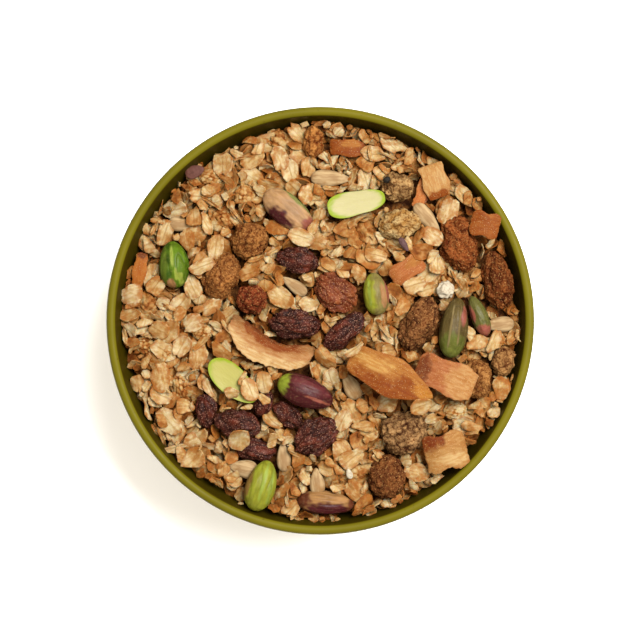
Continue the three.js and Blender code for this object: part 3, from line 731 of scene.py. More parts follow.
# Each: yaw and size.
RAISINS = {
    "under_nut": (-40, (11, 6.4, 5)),
    "small_dark": (62, (8.4, 5.6, 5)),
    "lower_left": (-12, (13.4, 7, 5.6)),
    "left": (98, (10.8, 7, 6)),
    "middle_left": (-14, (14.6, 8.4, 6.6)),
    "broad_dark": (34, (15.2, 11, 7)),
    "golden": (-38, (14.6, 11.4, 6)),
    "top": (-8, (13.2, 8, 6.4)),
    "centre_left": (-6, (15.8, 9, 7)),
    "centre_right": (42, (15.6, 7.6, 6.6)),
}


def creases(points, wave, seed):
    """Fine folds: 1 on a crease and near 0 between creases."""
    return (1 - np.abs(smooth_noise(points, wave, seed))) ** 5


def raisin(size, phase):
    """A grape with the outline of its CAD solid, shrunk into folds along it and fine wrinkles."""
    along, side, up = BALL_POINTS.T
    around = np.arctan2(up, -side)
    folds = 0.1 * np.sin(4 * around + 2.4 * along + phase) + 0.06 * np.sin(7 * around - 3 * along)
    points = drawn_out(BALL_POINTS, size, 0.98 + folds * (1 - along**4))
    deep = creases(points * LENGTHWISE, FOLD_WAVE, phase)
    fine = creases(points * LENGTHWISE, WRINKLE_WAVE, phase + 2)
    shrink = 1.02 - FOLD_DEPTH * deep - WRINKLE_DEPTH * fine
    shrink = shrink + 0.045 * smooth_noise(points, 0.6 * MM, phase + 4)
    return points * shrink[:, None], np.clip(0.8 * deep + 0.2 * fine, 0, 1)


def raisin_material(name, fold_shade_colour, skin_colour, flesh_colour, sugar_colour):
    """Wrinkled, a little glossy skin with painted shade in its folds, lighter where thin, under grains of
    sugar.
    """
    material, tree, place = new_finish(name)
    skin = mixed(tree, between(tree, grain(tree, place, 330), 0.42, 0.68), skin_colour, flesh_colour)
    # Painted shade: the folds are darkened to the fold shade colour.
    folded = mixed(tree, mark_of(tree, "fold", "Fac"), skin, fold_shade_colour)
    dusted = mixed(tree, speck_mask(tree, place, 3800, 0.3), folded, flesh_colour)
    sugared = mixed(tree, speck_mask(tree, place, 2500, 0.3), dusted, sugar_colour)
    rough = between(tree, grain(tree, place, 800), 0.3, 0.7, 0.32, 0.6)
    return finished(material, sugared, rough, 0.05, (0.8, 0.25 * MM, grain(tree, place, 1500, 4)))


# The first colour of each raisin is its painted shade in the folds.
dark_raisin = raisin_material("dark_raisin", rgb(24, 8, 5), rgb(66, 27, 19), rgb(116, 50, 32),
                              rgb(206, 150, 122))
golden_raisin = raisin_material("golden_raisin", rgb(84, 32, 12), rgb(124, 56, 28), rgb(164, 88, 46),
                                rgb(220, 160, 110))
for index, (name, (yaw, size)) in enumerate(RAISINS.items(), len(MULBERRIES) + len(CHIPS)):
    points, fold = raisin(size, index * PHASE)
    skin = golden_raisin if name == "golden" else dark_raisin
    put_topping("grape", "raisin", name, yaw, points, BALL_FACES, skin, fold=fold)

# ---- the pistachios ----
# Shelled pistachio kernels, green inside, with their thin skin still on in purple and tan patches.
# Two are halves that lie with the cut face up: one blanched pale yellow, one green.

BRIGHT_GREEN = rgb(108, 142, 28)
# Painted highlight: the lighter lime streaks laid over the kernels where light falls on them.
LIME_HIGHLIGHT = rgb(170, 188, 74)
LEAF = rgb(70, 102, 22)
YELLOW_GREEN = rgb(172, 176, 52)
TAN = rgb(192, 140, 90)
PURPLE = rgb(92, 34, 38)
PINK = rgb(176, 98, 80)
PALE_YELLOW = rgb(216, 206, 148)
CUT_GREEN = rgb(204, 196, 108)
RIM_GREEN = rgb(164, 186, 40)
CUT_EDGE = 45  # degrees, past which the edge of a cut face stays crisp
HALF_SKINNED = 0.1  # how much of the skin's veins shows on a half

# Each: yaw, size, whether it is a half, its main colour, the colours laid over it as on a chip, and
# for one how blunt its ends are.
NUTS = {
    "bright_green": (95, (14.4, 10.2, 9), False, LEAF, [
        (BRIGHT_GREEN, 0.05, -0.3, 1.2, 0.6), (rgb(112, 134, 40), 0.1, 0.6, 0.9, 0.25),
        (LIME_HIGHLIGHT, 0.3, 0.04, 0.45, 0.12), (LIME_HIGHLIGHT, -0.45, -0.12, 0.3, 0.1),
        (TAN, -0.85, 0.2, 0.25, 0.25), (LIME_HIGHLIGHT, -0.65, -0.35, 0.3, 0.16)]),
    "half_skinned": (-39, (18.8, 10.6, 7), False, rgb(214, 166, 116), [
        (rgb(150, 152, 84), 0, 1, 1.1, 0.3), (PURPLE, -0.1, -0.65, 0.5, 0.5), (PINK, 0.85, 0.1, 0.3, 0.7)]),
    "blanched_half": (12, (17.7, 8.6, 5), True, PALE_YELLOW, [], 0.18),
    "green_tan": (98, (13, 8.6, 7.5), False, rgb(156, 142, 78), [
        (YELLOW_GREEN, 0, 0.6, 1.2, 0.6), (LIME_HIGHLIGHT, 0.1, 0.45, 0.7, 0.12), (PINK, 0.1, -0.9, 0.9, 0.2),
        (TAN, -0.1, -0.5, 0.6, 0.2)]),
    "small_olive": (112, (13, 5.8, 6), False, rgb(118, 116, 56), [
        (PINK, -0.75, 0.2, 0.35, 0.8), (PINK, 0.2, 0.7, 0.4, 0.3)]),
    "large_olive": (82, (18.4, 9.6, 8.4), False, rgb(110, 92, 48), [
        (rgb(116, 122, 50), -0.6, 0, 0.5, 0.9), (rgb(164, 144, 96), 0, 0.25, 0.8, 0.07),
        (rgb(158, 136, 88), 0.1, -0.3, 0.8, 0.06), (rgb(140, 146, 66), -0.9, 0.1, 0.25, 0.5),
        (PINK, 0.45, -0.55, 0.35, 0.2)]),
    "yellow_green": (74, (15.8, 10.2, 9.2), False, YELLOW_GREEN, [
        (rgb(160, 124, 60), 0, 0.9, 0.7, 0.3), (LIME_HIGHLIGHT, 0.15, -0.1, 0.8, 0.12), (LIME_HIGHLIGHT, 0, -0.6, 0.7, 0.12)]),
    "rim_purple": (-5, (17.4, 8, 7.4), False, rgb(198, 146, 90), [
        (PURPLE, 0.2, -0.6, 0.95, 0.7), (rgb(120, 62, 38), -0.95, 0.1, 0.35, 1),
        (rgb(128, 68, 44), 0.95, 0.2, 0.2, 1)]),
    "green_half": (-42, (18.2, 9.6, 5), True, CUT_GREEN, []),
    "purple": (-22, (17.8, 10.6, 8.6), False, PURPLE, [
        (rgb(166, 182, 56), -0.94, 0.1, 0.36, 0.75), (PINK, 0.5, -0.2, 0.5, 0.1),
        (rgb(116, 52, 54), 0.1, 0.4, 0.8, 0.3), (TAN, 0.6, 0.98, 0.5, 0.14)]),
}


def nut(size, half, colour, patches, phase, blunt=0):
    """A kernel with the form of its CAD solid, ribbed lengthwise; a half is cut flat on top."""
    long, wide, thick = size
    along, side, up = BALL_POINTS.T
    around = np.arctan2(up, -side)
    ribs = 0.014 * np.sin(11 * around + 1.4 * np.sin(3 * along + phase)) * (1 - along**2)
    wrinkle = (1 - half) * creases(BALL_POINTS * LENGTHWISE, 0.42, phase + 3)
    dents = 0.03 * smooth_noise(BALL_POINTS * np.array([0.5, 1, 1]), 0.45, phase)
    girth = 1 - 0.12 * along - 0.1 * np.cos(around) ** 8 + ribs + dents - 0.04 * wrinkle
    waist = 1 - 0.5 * blunt * np.exp(-(((along - 0.1) / 0.35) ** 2))
    girth *= np.maximum(0.02, 1 - along**2) ** -blunt * waist
    points = drawn_out(BALL_POINTS, (long, wide, thick * 1.7 if half else thick), girth)
    ragged = 0.3 * smooth_noise(points * np.array([0.45, 1, 1]), 0.9 * MM, phase)
    ragged = ragged + 0.25 * smooth_noise(points, 2.4 * MM, phase + 1)
    across = side * np.sign(np.maximum(up, -0.2) + 0.2)
    colours = np.tile(np.array(colour), (len(points), 1))
    if half:
        cut = thick * 0.15 * MM + 0.02 * points[:, 0]
        over = points[:, 2] - cut
        near_edge = np.hypot(points[:, 0] / (long / 2), points[:, 1] / (wide / 2)) / MM
        hollow = 0.35 * MM * np.clip(1 - near_edge**2, 0, 1)
        points[:, 2] = np.where(over > 0, cut - hollow, points[:, 2])
        colours = layered(colours, step(near_edge + 0.25 * ragged, 0.74, 1), RIM_GREEN)
        colours = layered(colours, step(-over, 0, 0.4 * MM), RIM_GREEN)
    for patch in patches:
        colours = layered(colours, patch_share(along, across, patch, ragged), patch[0])
    # Painted shade: the colours are darkened in the wrinkles' grooves.
    return points, colours * (1 - 0.28 * wrinkle[:, None])


def nut_material():
    """Thin papery skin and oily flesh: veined lengthwise, mottled, with a soft sheen."""
    material, tree, place = new_finish("pistachio_skin")
    local = mark_of(tree, "local", "Vector")
    tone = mark_of(tree, "tone")
    veins = between(tree, fibre(tree, local, 700, 5), 0.36, 0.64, 0.2, 1)
    veined = shaded(tree, tone, (0.72, 0.66, 0.55), veins)
    whole = mixed(tree, mark_of(tree, "skinned", "Fac"), tone, veined)
    mottle = between(tree, grain(tree, place, 1500, 4, 0.7), 0.5, 0.75, 0, 0.16)
    mottled = mixed(tree, mottle, whole, rgb(214, 186, 130))
    rough = between(tree, grain(tree, place, 500), 0.3, 0.7, 0.28, 0.48)
    bump = (0.8, 0.22 * MM, fibre(tree, local, 900, 3))
    return finished(material, mottled, rough, 0.06, bump, (0.15, (0.8, 1, 0.3), 0.8 * MM))


nut_finish = nut_material()
first_nut = len(MULBERRIES) + len(CHIPS) + len(RAISINS)
for index, (name, (yaw, size, half, *form)) in enumerate(NUTS.items(), first_nut):
    colour, patches, *blunt = form
    points, colours = nut(size, half, colour, patches, index * PHASE, *blunt)
    made = put_topping("nut", "pistachio", name, yaw, points, BALL_FACES, nut_finish, tone=colours,
                       local=points, skinned=np.full(len(points), HALF_SKINNED if half else 1.0))
    made.data.set_sharp_from_angle(angle=math.radians(CUT_EDGE))

# ---- the sunflower kernels ----
# Shelled sunflower kernels, greyish cream, round at one end and pointed at the other. They lie half
# sunk between the oats.

SEED_LEVELS = 4
SINK = 0.45  # of a kernel's width, from the bare mound up to its middle
THICKNESS = 0.62  # of a kernel's width

# Each: the place of its middle, its yaw, its length and its width.
KERNELS = [
    ((3.2, 43.4), -2, 12.4, 4.9),
    ((32.6, 31.2), -50, 11.6, 4.6),
    ((-23.4, -45.2), 168, 9, 5.4),
    ((-11.2, -41.6), 95, 9, 4.2),
    ((-1, -49), 95, 8.4, 4.4),
    ((54.4, -1.2), 185, 9.4, 4.5),
    ((9.4, -20), 120, 9, 5),
    ((-42.4, 29.4), -8, 8.4, 4.2),
    ((-7.9, 10.6), 145, 9, 3.8),
]


def kernel_material():
    """The kernel's dull skin: faint lengthwise lines, with a few toasted spots."""
    material, tree, place = new_finish("sunflower_skin")
    lines = between(tree, fibre(tree, mark_of(tree, "local", "Vector"), 1100, 8), 0.36, 0.64)
    skin = mixed(tree, lines, rgb(180, 142, 98), rgb(222, 188, 138))
    spots = between(tree, grain(tree, place, 260, 3), 0.52, 0.72, 0, 0.7)
    bump = (0.35, 0.1 * MM, grain(tree, place, 1400, 4))
    return finished(material, mixed(tree, spots, skin, rgb(176, 124, 68)), 0.5, 0.02, bump)


def seeds_piece(name, seeds, finish, mark):
    """One piece of all the seeds of a sort. Each is given by its points and their marks."""
    points, marks = (np.vstack(parts) for parts in zip(*seeds))
    faces = [[corner + first for corner in face]
             for first in range(0, len(points), len(seed_points)) for face in seed_faces]
    piece_from(name, marked_mesh(name, points, faces, finish, **{mark: marks}), "granola")


seed_points, seed_faces = ball(SEED_LEVELS)
kernels = []
for index, ((x, y), yaw, long, wide) in enumerate(KERNELS):
    along, side, up = seed_points.T
    girth = 1 - 0.4 * along + 0.04 * smooth_noise(seed_points, 0.7, index)
    shape = np.column_stack([along * long, side * girth * wide, up * girth * wide * THICKNESS]) * MM / 2
    turn = np.array(Matrix.Rotation(math.radians(yaw), 3, "Z"))
    middle = np.array([x * MM, y * MM, mound_height(x * MM, y * MM) + SINK * wide * MM])
    points = shape @ turn.T + middle
    kernels.append((points, shape))
    lay(points, True)
seeds_piece("sunflower_kernels", kernels, kernel_material(), "local")

# ---- the oats ----
# Rolled oats, baked with honey until they stick and turn golden: ovals with a crease down the middle
# and a cracked edge, curled ones, and broken chips. They lie where they come to rest, one on another.

FLAKE_SECTORS = 16
FLAKE_RINGS = ((0, 1), (0.5, 1), (0.94, 1), (1, -0.4), (0, -1))
SECTOR_TURNS = np.linspace(0, 2 * math.pi, FLAKE_SECTORS, endpoint=False)
CLOUD_SECTORS = 52
CLOUD_RINGS = 10
FLAKE_EDGE = 40  # degrees, past which the edge of a flake stays crisp
OAT_COLOURS = [  # from raw, 0, to burnt, 1
    (0, rgb(244, 222, 172)), (0.3, rgb(228, 192, 132)), (0.55, rgb(204, 150, 86)), (0.8, rgb(170, 104, 48)),
    (1, rgb(118, 60, 22)),
]


def flake_traits(random, long, wide, thick, curl, cuts):
    """What makes one flake differ from the next, with its sizes in millimetres."""
    return {
        "size": np.array([random.uniform(*long), random.uniform(*wide), random.uniform(*thick)]) * MM / 2,
        "waves": [
            (order, random.uniform(0.01, 0.09) / math.sqrt(order), random.uniform(0, 2 * math.pi))
            for order in (2, 3, 4, 6)
        ],
        "nicks": random.normal(0, 0.045, FLAKE_SECTORS),
        "ruffle": random.normal(0, 0.17 * MM, FLAKE_SECTORS),
        "cuts": [(random.uniform(0, 2 * math.pi), random.uniform(0.25, 0.7)) for _ in range(cuts)],
        "split": random.uniform(0, 0.35),
        "crease": random.uniform(0.2, 1),
        "curl": random.uniform(*curl) * MM,
        "bend": random.uniform(-0.3, 1.1) * MM,
        "twist": random.uniform(-0.8, 0.8) * MM,
        "egg": random.uniform(0, 0.2),
    }


def flake_points(turn, ring, side, traits):
    """Points of a flake at an angle and at a ring from its middle, 0, to its edge, 1. side is 1 on
    its upper face and -1 on its lower one."""
    outline = 1 + sum(size * np.cos(order * turn + phase) for order, size, phase in traits["waves"])
    outline = outline + np.interp(turn, SECTOR_TURNS, traits["nicks"], period=2 * math.pi)
    outline = outline * (1 - traits["split"] * np.exp(-((np.sin(turn / 2) / 0.16) ** 2)))
    for middle, depth in traits["cuts"]:
        outline = np.minimum(outline, depth / np.maximum(np.cos(turn - middle), 0.05))
    long, wide, thick = traits["size"]
    u = ring * outline * np.cos(turn)
    v = ring * outline * np.sin(turn) * (1 - traits["egg"] * np.cos(turn))
    body = thick * side * np.sqrt(np.clip(1 - 0.6 * ring**9, 0, 1))
    groove = 0.8 * traits["crease"] * thick * np.exp(-((v * wide / (0.9 * MM)) ** 2)) * (1 - ring**4)
    sag = traits["curl"] * v * v + traits["bend"] * u * u + traits["twist"] * u * v
    sag += ring**2 * np.interp(turn, SECTOR_TURNS, traits["ruffle"], period=2 * math.pi)
    return np.column_stack([u * long, v * wide, body + sag - groove * (side > 0)])


def flake_mesh(name, traits, random):
    """One flake's mesh: a fan of faces in its middle, rings of them round it, and a fan below."""
    turn, ring, side = [], [], []
    for ring_share, ring_side in FLAKE_RINGS:
        turns = SECTOR_TURNS if ring_share else SECTOR_TURNS[:1]
        turn += list(turns)
        ring += [ring_share] * len(turns)
        side += [ring_side] * len(turns)
    turn, ring, side = np.array(turn), np.array(ring), np.array(side)
    points = flake_points(turn, ring, side, traits)
    points[:, 2] += random.normal(0, 0.08 * MM, len(points)) * (ring < 0.9)
    count = FLAKE_SECTORS
    faces = []
    for k in range(count):
        following = (k + 1) % count
        faces.append((0, 1 + k, 1 + following))
        for row in range(len(FLAKE_RINGS) - 3):
            a, b = 1 + row * count, 1 + (row + 1) * count
            faces.append((a + k, b + k, b + following, a + following))
        last = 1 + (len(FLAKE_RINGS) - 3) * count
        faces.append((last + k, len(points) - 1, last + following))
    crease = (side > 0) * traits["crease"]
    return marked_mesh(name, points, faces, local=points, edge=ring**4, crease=crease)


def flake_cloud(traits):
    """Points all over a flake, closer together than PITCH."""
    turn, ring = np.meshgrid(np.linspace(0, 2 * math.pi, CLOUD_SECTORS, endpoint=False),
                             np.linspace(0.04, 1, CLOUD_RINGS))
    turn, ring = turn.ravel(), ring.ravel()
    return np.vstack([flake_points(turn, ring, side + 0 * ring, traits) for side in (1, -1)])


def scatter_tree():
    """Puts one shape of a set on each point, turned, sized and marked as the point says."""
    tree, given, result = new_tree("scattered_bits", "GeometryNodeTree", [
        ("Places", "NodeSocketGeometry"), ("Shapes", "NodeSocketCollection"), ("Size", "NodeSocketFloat"),
        ("Finish", "NodeSocketMaterial"),
    ], [("Bits", "NodeSocketGeometry")])

    def mark(name, kind):
        return node_in(tree, "GeometryNodeInputNamedAttribute", {"data_type": kind}, Name=name).outputs[0]

    shapes = node_in(tree, "GeometryNodeCollectionInfo", Collection=given["Shapes"], Separate_Children=True,
                     Reset_Children=True)
    turn = node_in(tree, "FunctionNodeEulerToRotation", Euler=mark("turn", "FLOAT_VECTOR"))
    sized = node_in(tree, "ShaderNodeVectorMath", {"operation": "SCALE"}, Scale=given["Size"],
                    Vector=mark("stretch", "FLOAT_VECTOR"))
    put = node_in(tree, "GeometryNodeInstanceOnPoints", Points=given["Places"], Instance=shapes.outputs[0],
                  Pick_Instance=True, Instance_Index=mark("shape", "INT"), Rotation=turn.outputs[0],
                  Scale=sized.outputs[0])
    whole = node_in(tree, "GeometryNodeRealizeInstances", Geometry=put.outputs[0])
    finish = node_in(tree, "GeometryNodeSetMaterial", Geometry=whole.outputs[0], Material=given["Finish"])
    tree.links.new(finish.outputs[0], result["Bits"])
    return tree


SCATTER = scatter_tree()


class Kind:
    """A kind of small thing: its shapes, each a mesh and a cloud of points that stands for it, and how
    each thing lies."""

    def __init__(self, name, count, seed, make):
        random = np.random.default_rng(seed)
        self.name = name
        self.shapes = [make(f"{name}_{index:02d}", index, random) for index in range(count)]
        self.laid = []

    def lay(self, shape, points, at, turn, stretch, as_topping=False):
        """Lays one of the shapes into the relief, and keeps how it lies."""
        lay(points, as_topping)
        self.laid.append({"at": at, "turn": turn.to_euler(), "stretch": stretch, "shape": shape})

    def into_piece(self, finish):
        """Makes the kind's one mesh."""
        shapes = bpy.data.collections.new(self.name + "_shapes")
        for mesh, _ in self.shapes:
            shapes.objects.link(bpy.data.objects.new(mesh.name, mesh))
        marks = {mark: np.array([laid[mark] for laid in self.laid], float) for mark in self.laid[0]}
        stand_in = new_object(self.name + "_places", marked_mesh(self.name, marks.pop("at"), [], **marks))
        mesh = run_tree(stand_in, SCATTER, Shapes=shapes, Size=1.0, Finish=finish)
        for spent in (stand_in, *shapes.objects):
            bpy.data.objects.remove(spent)
        bpy.data.collections.remove(shapes)
        mesh.shade_smooth()
        mesh.set_sharp_from_angle(angle=math.radians(FLAKE_EDGE))
        piece_from(self.name, mesh, "granola")


def flake_kind(name, count, seed, *bounds):
    """A kind of flake. Its bounds are of its length, width, thickness and curl, and how many cuts."""
    def make(shape_name, index, random):
        traits = flake_traits(random, *bounds)
        return flake_mesh(shape_name, traits, random), flake_cloud(traits)

    return Kind(name, count, seed, make)


pale_oats = flake_kind("oats_pale", 18, 1, (7.8, 10), (5.2, 6.9), (0.5, 0.75), (-0.4, 0.9), 0)
toasted_oats = flake_kind("oats_toasted", 14, 2, (7, 9.4), (4.6, 6.3), (0.5, 0.75), (-0.3, 1.4), 1)
broken_oats = flake_kind("oats_broken", 16, 3, (5.2, 8.6), (3.8, 6), (0.4, 0.65), (-0.6, 1.2), 3)
oat_slivers = flake_kind("oat_slivers", 8, 4, (5, 9.5), (0.9, 1.7), (0.4, 0.7), (0, 0.3), 0)

TARGET = mound_height(cell_x, cell_y) + OAT_COVER
CLEARANCE = 0.4 * MM  # from the flakes' edges to the lip
waviness = 0.8 * MM * np.sin(5 * np.arctan2(cell_y, cell_x) + 1) * np.sin(11 * np.arctan2(cell_y, cell_x))
INSIDE = cell_radius < RIM_RADIUS - 2 * LIP_RADIUS - CLEARANCE - waviness
OVER_TOPPING = 0.14  # how much of a flake may come under or over the edge of a topping
SINKS_IN = 0.03  # how much of a flake may sink into what it lies on
STEEPEST = math.tan(math.radians(38))
FACE_DOWN = 0.15  # the share of pieces that lie over on their face
STANDING = (46, 80)  # the tilt of a flake that stands, in degrees
STRETCH = (0.84, 1.1)  # how much smaller or larger than its shape a flake is
UNEVEN = (0.94, 1.06)  # and how much more each way
PROUD = 0.4  # how much it counts against a place that a flake's highest point stands proud there


def slope_under(points, cells, on_toppings):
    """The slope of what lies under some points, along X and along Y."""
    firm = ~topped[cells] | on_toppings
    if firm.sum() < 12:
        return 0.0, 0.0
    flat = points[firm][:, :2]
    away = np.column_stack([flat - flat.mean(0), np.ones(len(flat))])
    fit = np.linalg.solve(away.T @ away + 1e-12 * np.eye(3), away.T @ relief[cells][firm])
    steepness = math.hypot(fit[0], fit[1])
    ease = min(1.0, STEEPEST / max(steepness, 1e-6))
    return fit[0] * ease, fit[1] * ease


def settle(kind, shape, place, spin, lean, stretch, follow, on_toppings=False):
    """Lets a piece down at a place. It comes to rest where only a little of it sinks in. Gives its
    points, their cells, its middle and its turn."""
    cloud = kind.shapes[shape][1] * stretch
    turn = lean @ spin
    if follow:
        points = cloud @ np.array(spin).T + np.array([*place, 0])
        slope_x, slope_y = slope_under(points, cells_of(points), on_toppings)
        upright = Vector((-slope_x, -slope_y, 1)).normalized()
        turn = lean @ Vector((0, 0, 1)).rotation_difference(upright).to_matrix() @ spin
    points = cloud @ np.array(turn).T + np.array([*place, 0])
    cells = cells_of(points)
    sink = relief[cells] - points[:, 2]
    if not on_toppings:
        sink = sink[~topped[cells]]
    if not len(sink):
        return None
    kept = int(len(sink) * SINKS_IN)
    lift = np.partition(sink, len(sink) - 1 - kept)[len(sink) - 1 - kept]
    points[:, 2] += lift
    return points, cells, np.array([*place, lift]), turn


def any_turn(random, tilt):
    """A random spin, sometimes over on its face, and a lean within bounds in degrees."""
    spin = Matrix.Rotation(random.uniform(0, 2 * math.pi), 3, "Z")
    if random.random() < FACE_DOWN:
        spin = spin @ Matrix.Rotation(math.pi, 3, "X")
    towards = random.uniform(0, 2 * math.pi)
    axis = Vector((math.cos(towards), math.sin(towards), 0))
    return spin, Matrix.Rotation(math.radians(random.uniform(*tilt)), 3, axis)


def drop(kind, place, tilt, follow, allowance, tries, random, spread=1.2 * MM):
    """Tries a piece in several ways about a place, and lays it in the way in which it lies best, if
    no more than the allowance of it stands over the target."""
    best = None
    for _ in range(tries):
        shape = int(random.integers(len(kind.shapes)))
        spin, lean = any_turn(random, tilt)
        stretch = random.uniform(*STRETCH) * random.uniform(*UNEVEN, 3)
        settled = settle(kind, shape, place + random.normal(0, spread, 2), spin, lean, stretch, follow)
        if settled is None:
            continue
        points, cells, middle, turn = settled
        if topped[cells].mean() > OVER_TOPPING or not INSIDE[cells].all():
            continue
        over = points[:, 2] - TARGET[cells]
        if over.max() > allowance:
            continue
        score = over.mean() + PROUD * over.max()
        if best is None or score < best[0]:
            best = (score, shape, points, middle, turn, stretch)
    if best:
        kind.lay(*best[1:])
    return best is not None


def low_cells(below):
    """The cells clear of toppings where the heap is this much below its target."""
    return (relief < TARGET - below) & INSIDE & ~topped


def pick(cells, random):
    """One of some cells, and its place."""
    indices = np.argwhere(cells)
    i, j = indices[random.integers(len(indices))]
    return i, j, np.array([cell_places[i], cell_places[j]])


def fill(kinds, level, lying, share_lying, allowance, most, tries, seed):
    """Drops flakes until the heap is filled to a level under its target, or until it has dropped
    most of them. Some lie along with what is under them, within a tilt; the others stand."""
    random = np.random.default_rng(seed)
    refused = np.zeros((CELLS, CELLS), bool)
    for _ in range(most):
        open_cells = low_cells(level) & ~refused
        if not open_cells.any():
            break
        i, j, place = pick(open_cells, random)
        lies = random.random() < share_lying
        kind = kinds[random.integers(len(kinds))]
        if not drop(kind, place, lying if lies else STANDING, lies, allowance, tries, random):
            refused[max(i - 1, 0):i + 2, max(j - 1, 0):j + 2] = True


def oat_material():
    """Baked oats: roasted cream to brown, with painted shade deep down and in the crease, browner edges, and
    honey.
    """
    material, tree, place = new_finish("baked_oats")
    local = mark_of(tree, "local", "Vector")
    uneven = between(tree, grain(tree, place, 300, 3), 0.34, 0.68, -0.14, 0.3)
    toast = worked_out(tree, "ADD", mark_of(tree, "roast", "Fac"), uneven)
    toast = worked_out(tree, "ADD", toast, mark_of(tree, "toast", "Fac"))
    ramp = node_in(tree, "ShaderNodeValToRGB", Fac=toast)
    stops = ramp.color_ramp.elements
    stops[0].color, stops[1].color = OAT_COLOURS[0][1], OAT_COLOURS[-1][1]
    for position, colour in OAT_COLOURS[1:-1]:
        stops.new(position).color = colour
    strands = between(tree, fibre(tree, local, 1500, 4), 0.34, 0.62)
    streaked = shaded(tree, ramp.outputs["Color"], (0.8, 0.67, 0.5), strands)
    browned = between(tree, grain(tree, place, 600, 2), 0.34, 0.6, 0.1, 0.95)
    rim = worked_out(tree, "MULTIPLY", mark_of(tree, "edge", "Fac"), browned)
    edged = mixed(tree, rim, streaked, rgb(182, 108, 44))
    across = worked_out(tree, "ABSOLUTE", node_in(tree, "ShaderNodeSeparateXYZ", Vector=local).outputs["Y"])
    near_middle = between(tree, across, 0.04 * MM, 0.4 * MM, 0.34, 0)
    line = worked_out(tree, "MULTIPLY", near_middle, mark_of(tree, "crease", "Fac"))
    # Painted shade: a darker line down the crease.
    crease_in_painted_shade = mixed(tree, line, edged, rgb(150, 92, 48))
    honey = between(tree, grain(tree, place, 210, 2), 0.6, 0.7, 0, 0.5)
    rough = between(tree, honey, 0, 0.5, 0.62, 0.36)
    bump = (0.8, 0.22 * MM, grain(tree, place, 1500, 5, 0.65))
    return finished(material, mixed(tree, honey, crease_in_painted_shade, rgb(190, 116, 42)), rough, 0.03, bump,
                    (0.35, (1, 0.45, 0.15), 0.9 * MM))


fill([toasted_oats, broken_oats, pale_oats], level=2 * MM, lying=(-24, 24), share_lying=0.85,
     allowance=0.2 * MM, most=1500, tries=6, seed=11)

# ---- the clusters and the crumbs ----
# Oat crumbs baked together with honey into low knobbly clusters, half sunk between the flakes, and
# loose crumbs, chips and slivers of oat in the gaps that are left.

CLUSTERS = 13
CLUSTER_SHAPES = 8
CLUSTER_SKIRT = 1.2 * MM  # lower than this under the heap's top, flakes may lie on a cluster
LUMP_LEVELS = 5
CRUMB_SHAPES = 12
CRUMB_LENGTHS = (2, 5.4)
CRUMBS_TRIED = 240
SLIVERS_TRIED = 70


def crumb(name, index, random):
    """A crumb: a cube cut in 24 faces, rounded and knocked out of shape."""
    cube = bmesh.new()
    bmesh.ops.create_cube(cube, size=2)
    bmesh.ops.subdivide_edges(cube, edges=cube.edges[:], cuts=1, use_grid_fill=True)
    points = np.array([vertex.co[:] for vertex in cube.verts])
    faces = [[vertex.index for vertex in face.verts] for face in cube.faces]
    cube.free()
    points /= np.linalg.norm(points, axis=1)[:, None] ** 0.6
    points *= 1 + random.normal(0, 0.15, (len(points), 1))
    shares = np.array([random.uniform(0.5, 1), random.uniform(0.35, 0.8), 0.3])
    points *= shares * random.uniform(*CRUMB_LENGTHS) * MM / 2
    edge = 0.5 * random.random(len(points))
    mesh = marked_mesh(name, points, faces, local=points, edge=edge, crease=0 * edge)
    middles = np.array([points[face].mean(0) for face in faces])
    return mesh, np.vstack([points, middles, (points[[face[0] for face in faces]] + middles) / 2])


def cluster(name, index, random):
    """A cluster: a low lump covered with knobs, each roasted to its own degree, browner between them with
    painted shade.
    """
    cap, own = knobs(lump_points, int(random.integers(40, 80)), random)
    size = (random.uniform(6.5, 10), random.uniform(5.5, 8), random.uniform(4, 5))
    slump = smooth_noise(lump_points, 0.6, index)
    points = drawn_out(lump_points, size, 0.85 + 0.36 * (cap - 0.5) + 0.3 * slump)
    points[:, 0] *= 1 + 0.2 * (cap - 0.5)
    rough = 1 + 0.08 * smooth_noise(points, 0.6 * MM, index) + 0.06 * smooth_noise(points, 1.5 * MM, index)
    points *= rough[:, None]
    # Painted shade: the hollows between the knobs are browned, as edges are, and marked more roasted.
    recess = 1 - step(cap, 0.25, 0.8)
    mesh = marked_mesh(name, points, lump_faces, local=points, edge=0.9 * recess, crease=0 * recess,
                       toast=0.3 * own + 0.7 * recess - 0.2)
    return mesh, points


lump_points, lump_faces = ball(LUMP_LEVELS)
clusters = Kind("oat_clusters", CLUSTER_SHAPES, 31, cluster)
cluster_random = np.random.default_rng(32)
while len(clusters.laid) < CLUSTERS:
    shape = int(cluster_random.integers(CLUSTER_SHAPES))
    i, j = cluster_random.integers(0, CELLS, 2)
    x, y = cell_places[i], cell_places[j]
    spin, lean = any_turn(cluster_random, (0, 15))
    stretch = cluster_random.uniform(0.8, 1.15, 3)
    points = (clusters.shapes[shape][1] * stretch) @ np.array(lean @ spin).T + np.array([x, y, 0])
    cells = cells_of(points)
    if topped[cells].any() or not INSIDE[cells].all():
        continue
    middle = TARGET[i, j] + cluster_random.uniform(-0.2, 0.7) * MM - points[:, 2].max()
    points[:, 2] += middle
    clusters.lay(shape, points, (x, y, middle), lean @ spin, stretch, True)
topped &= relief > TARGET - CLUSTER_SKIRT

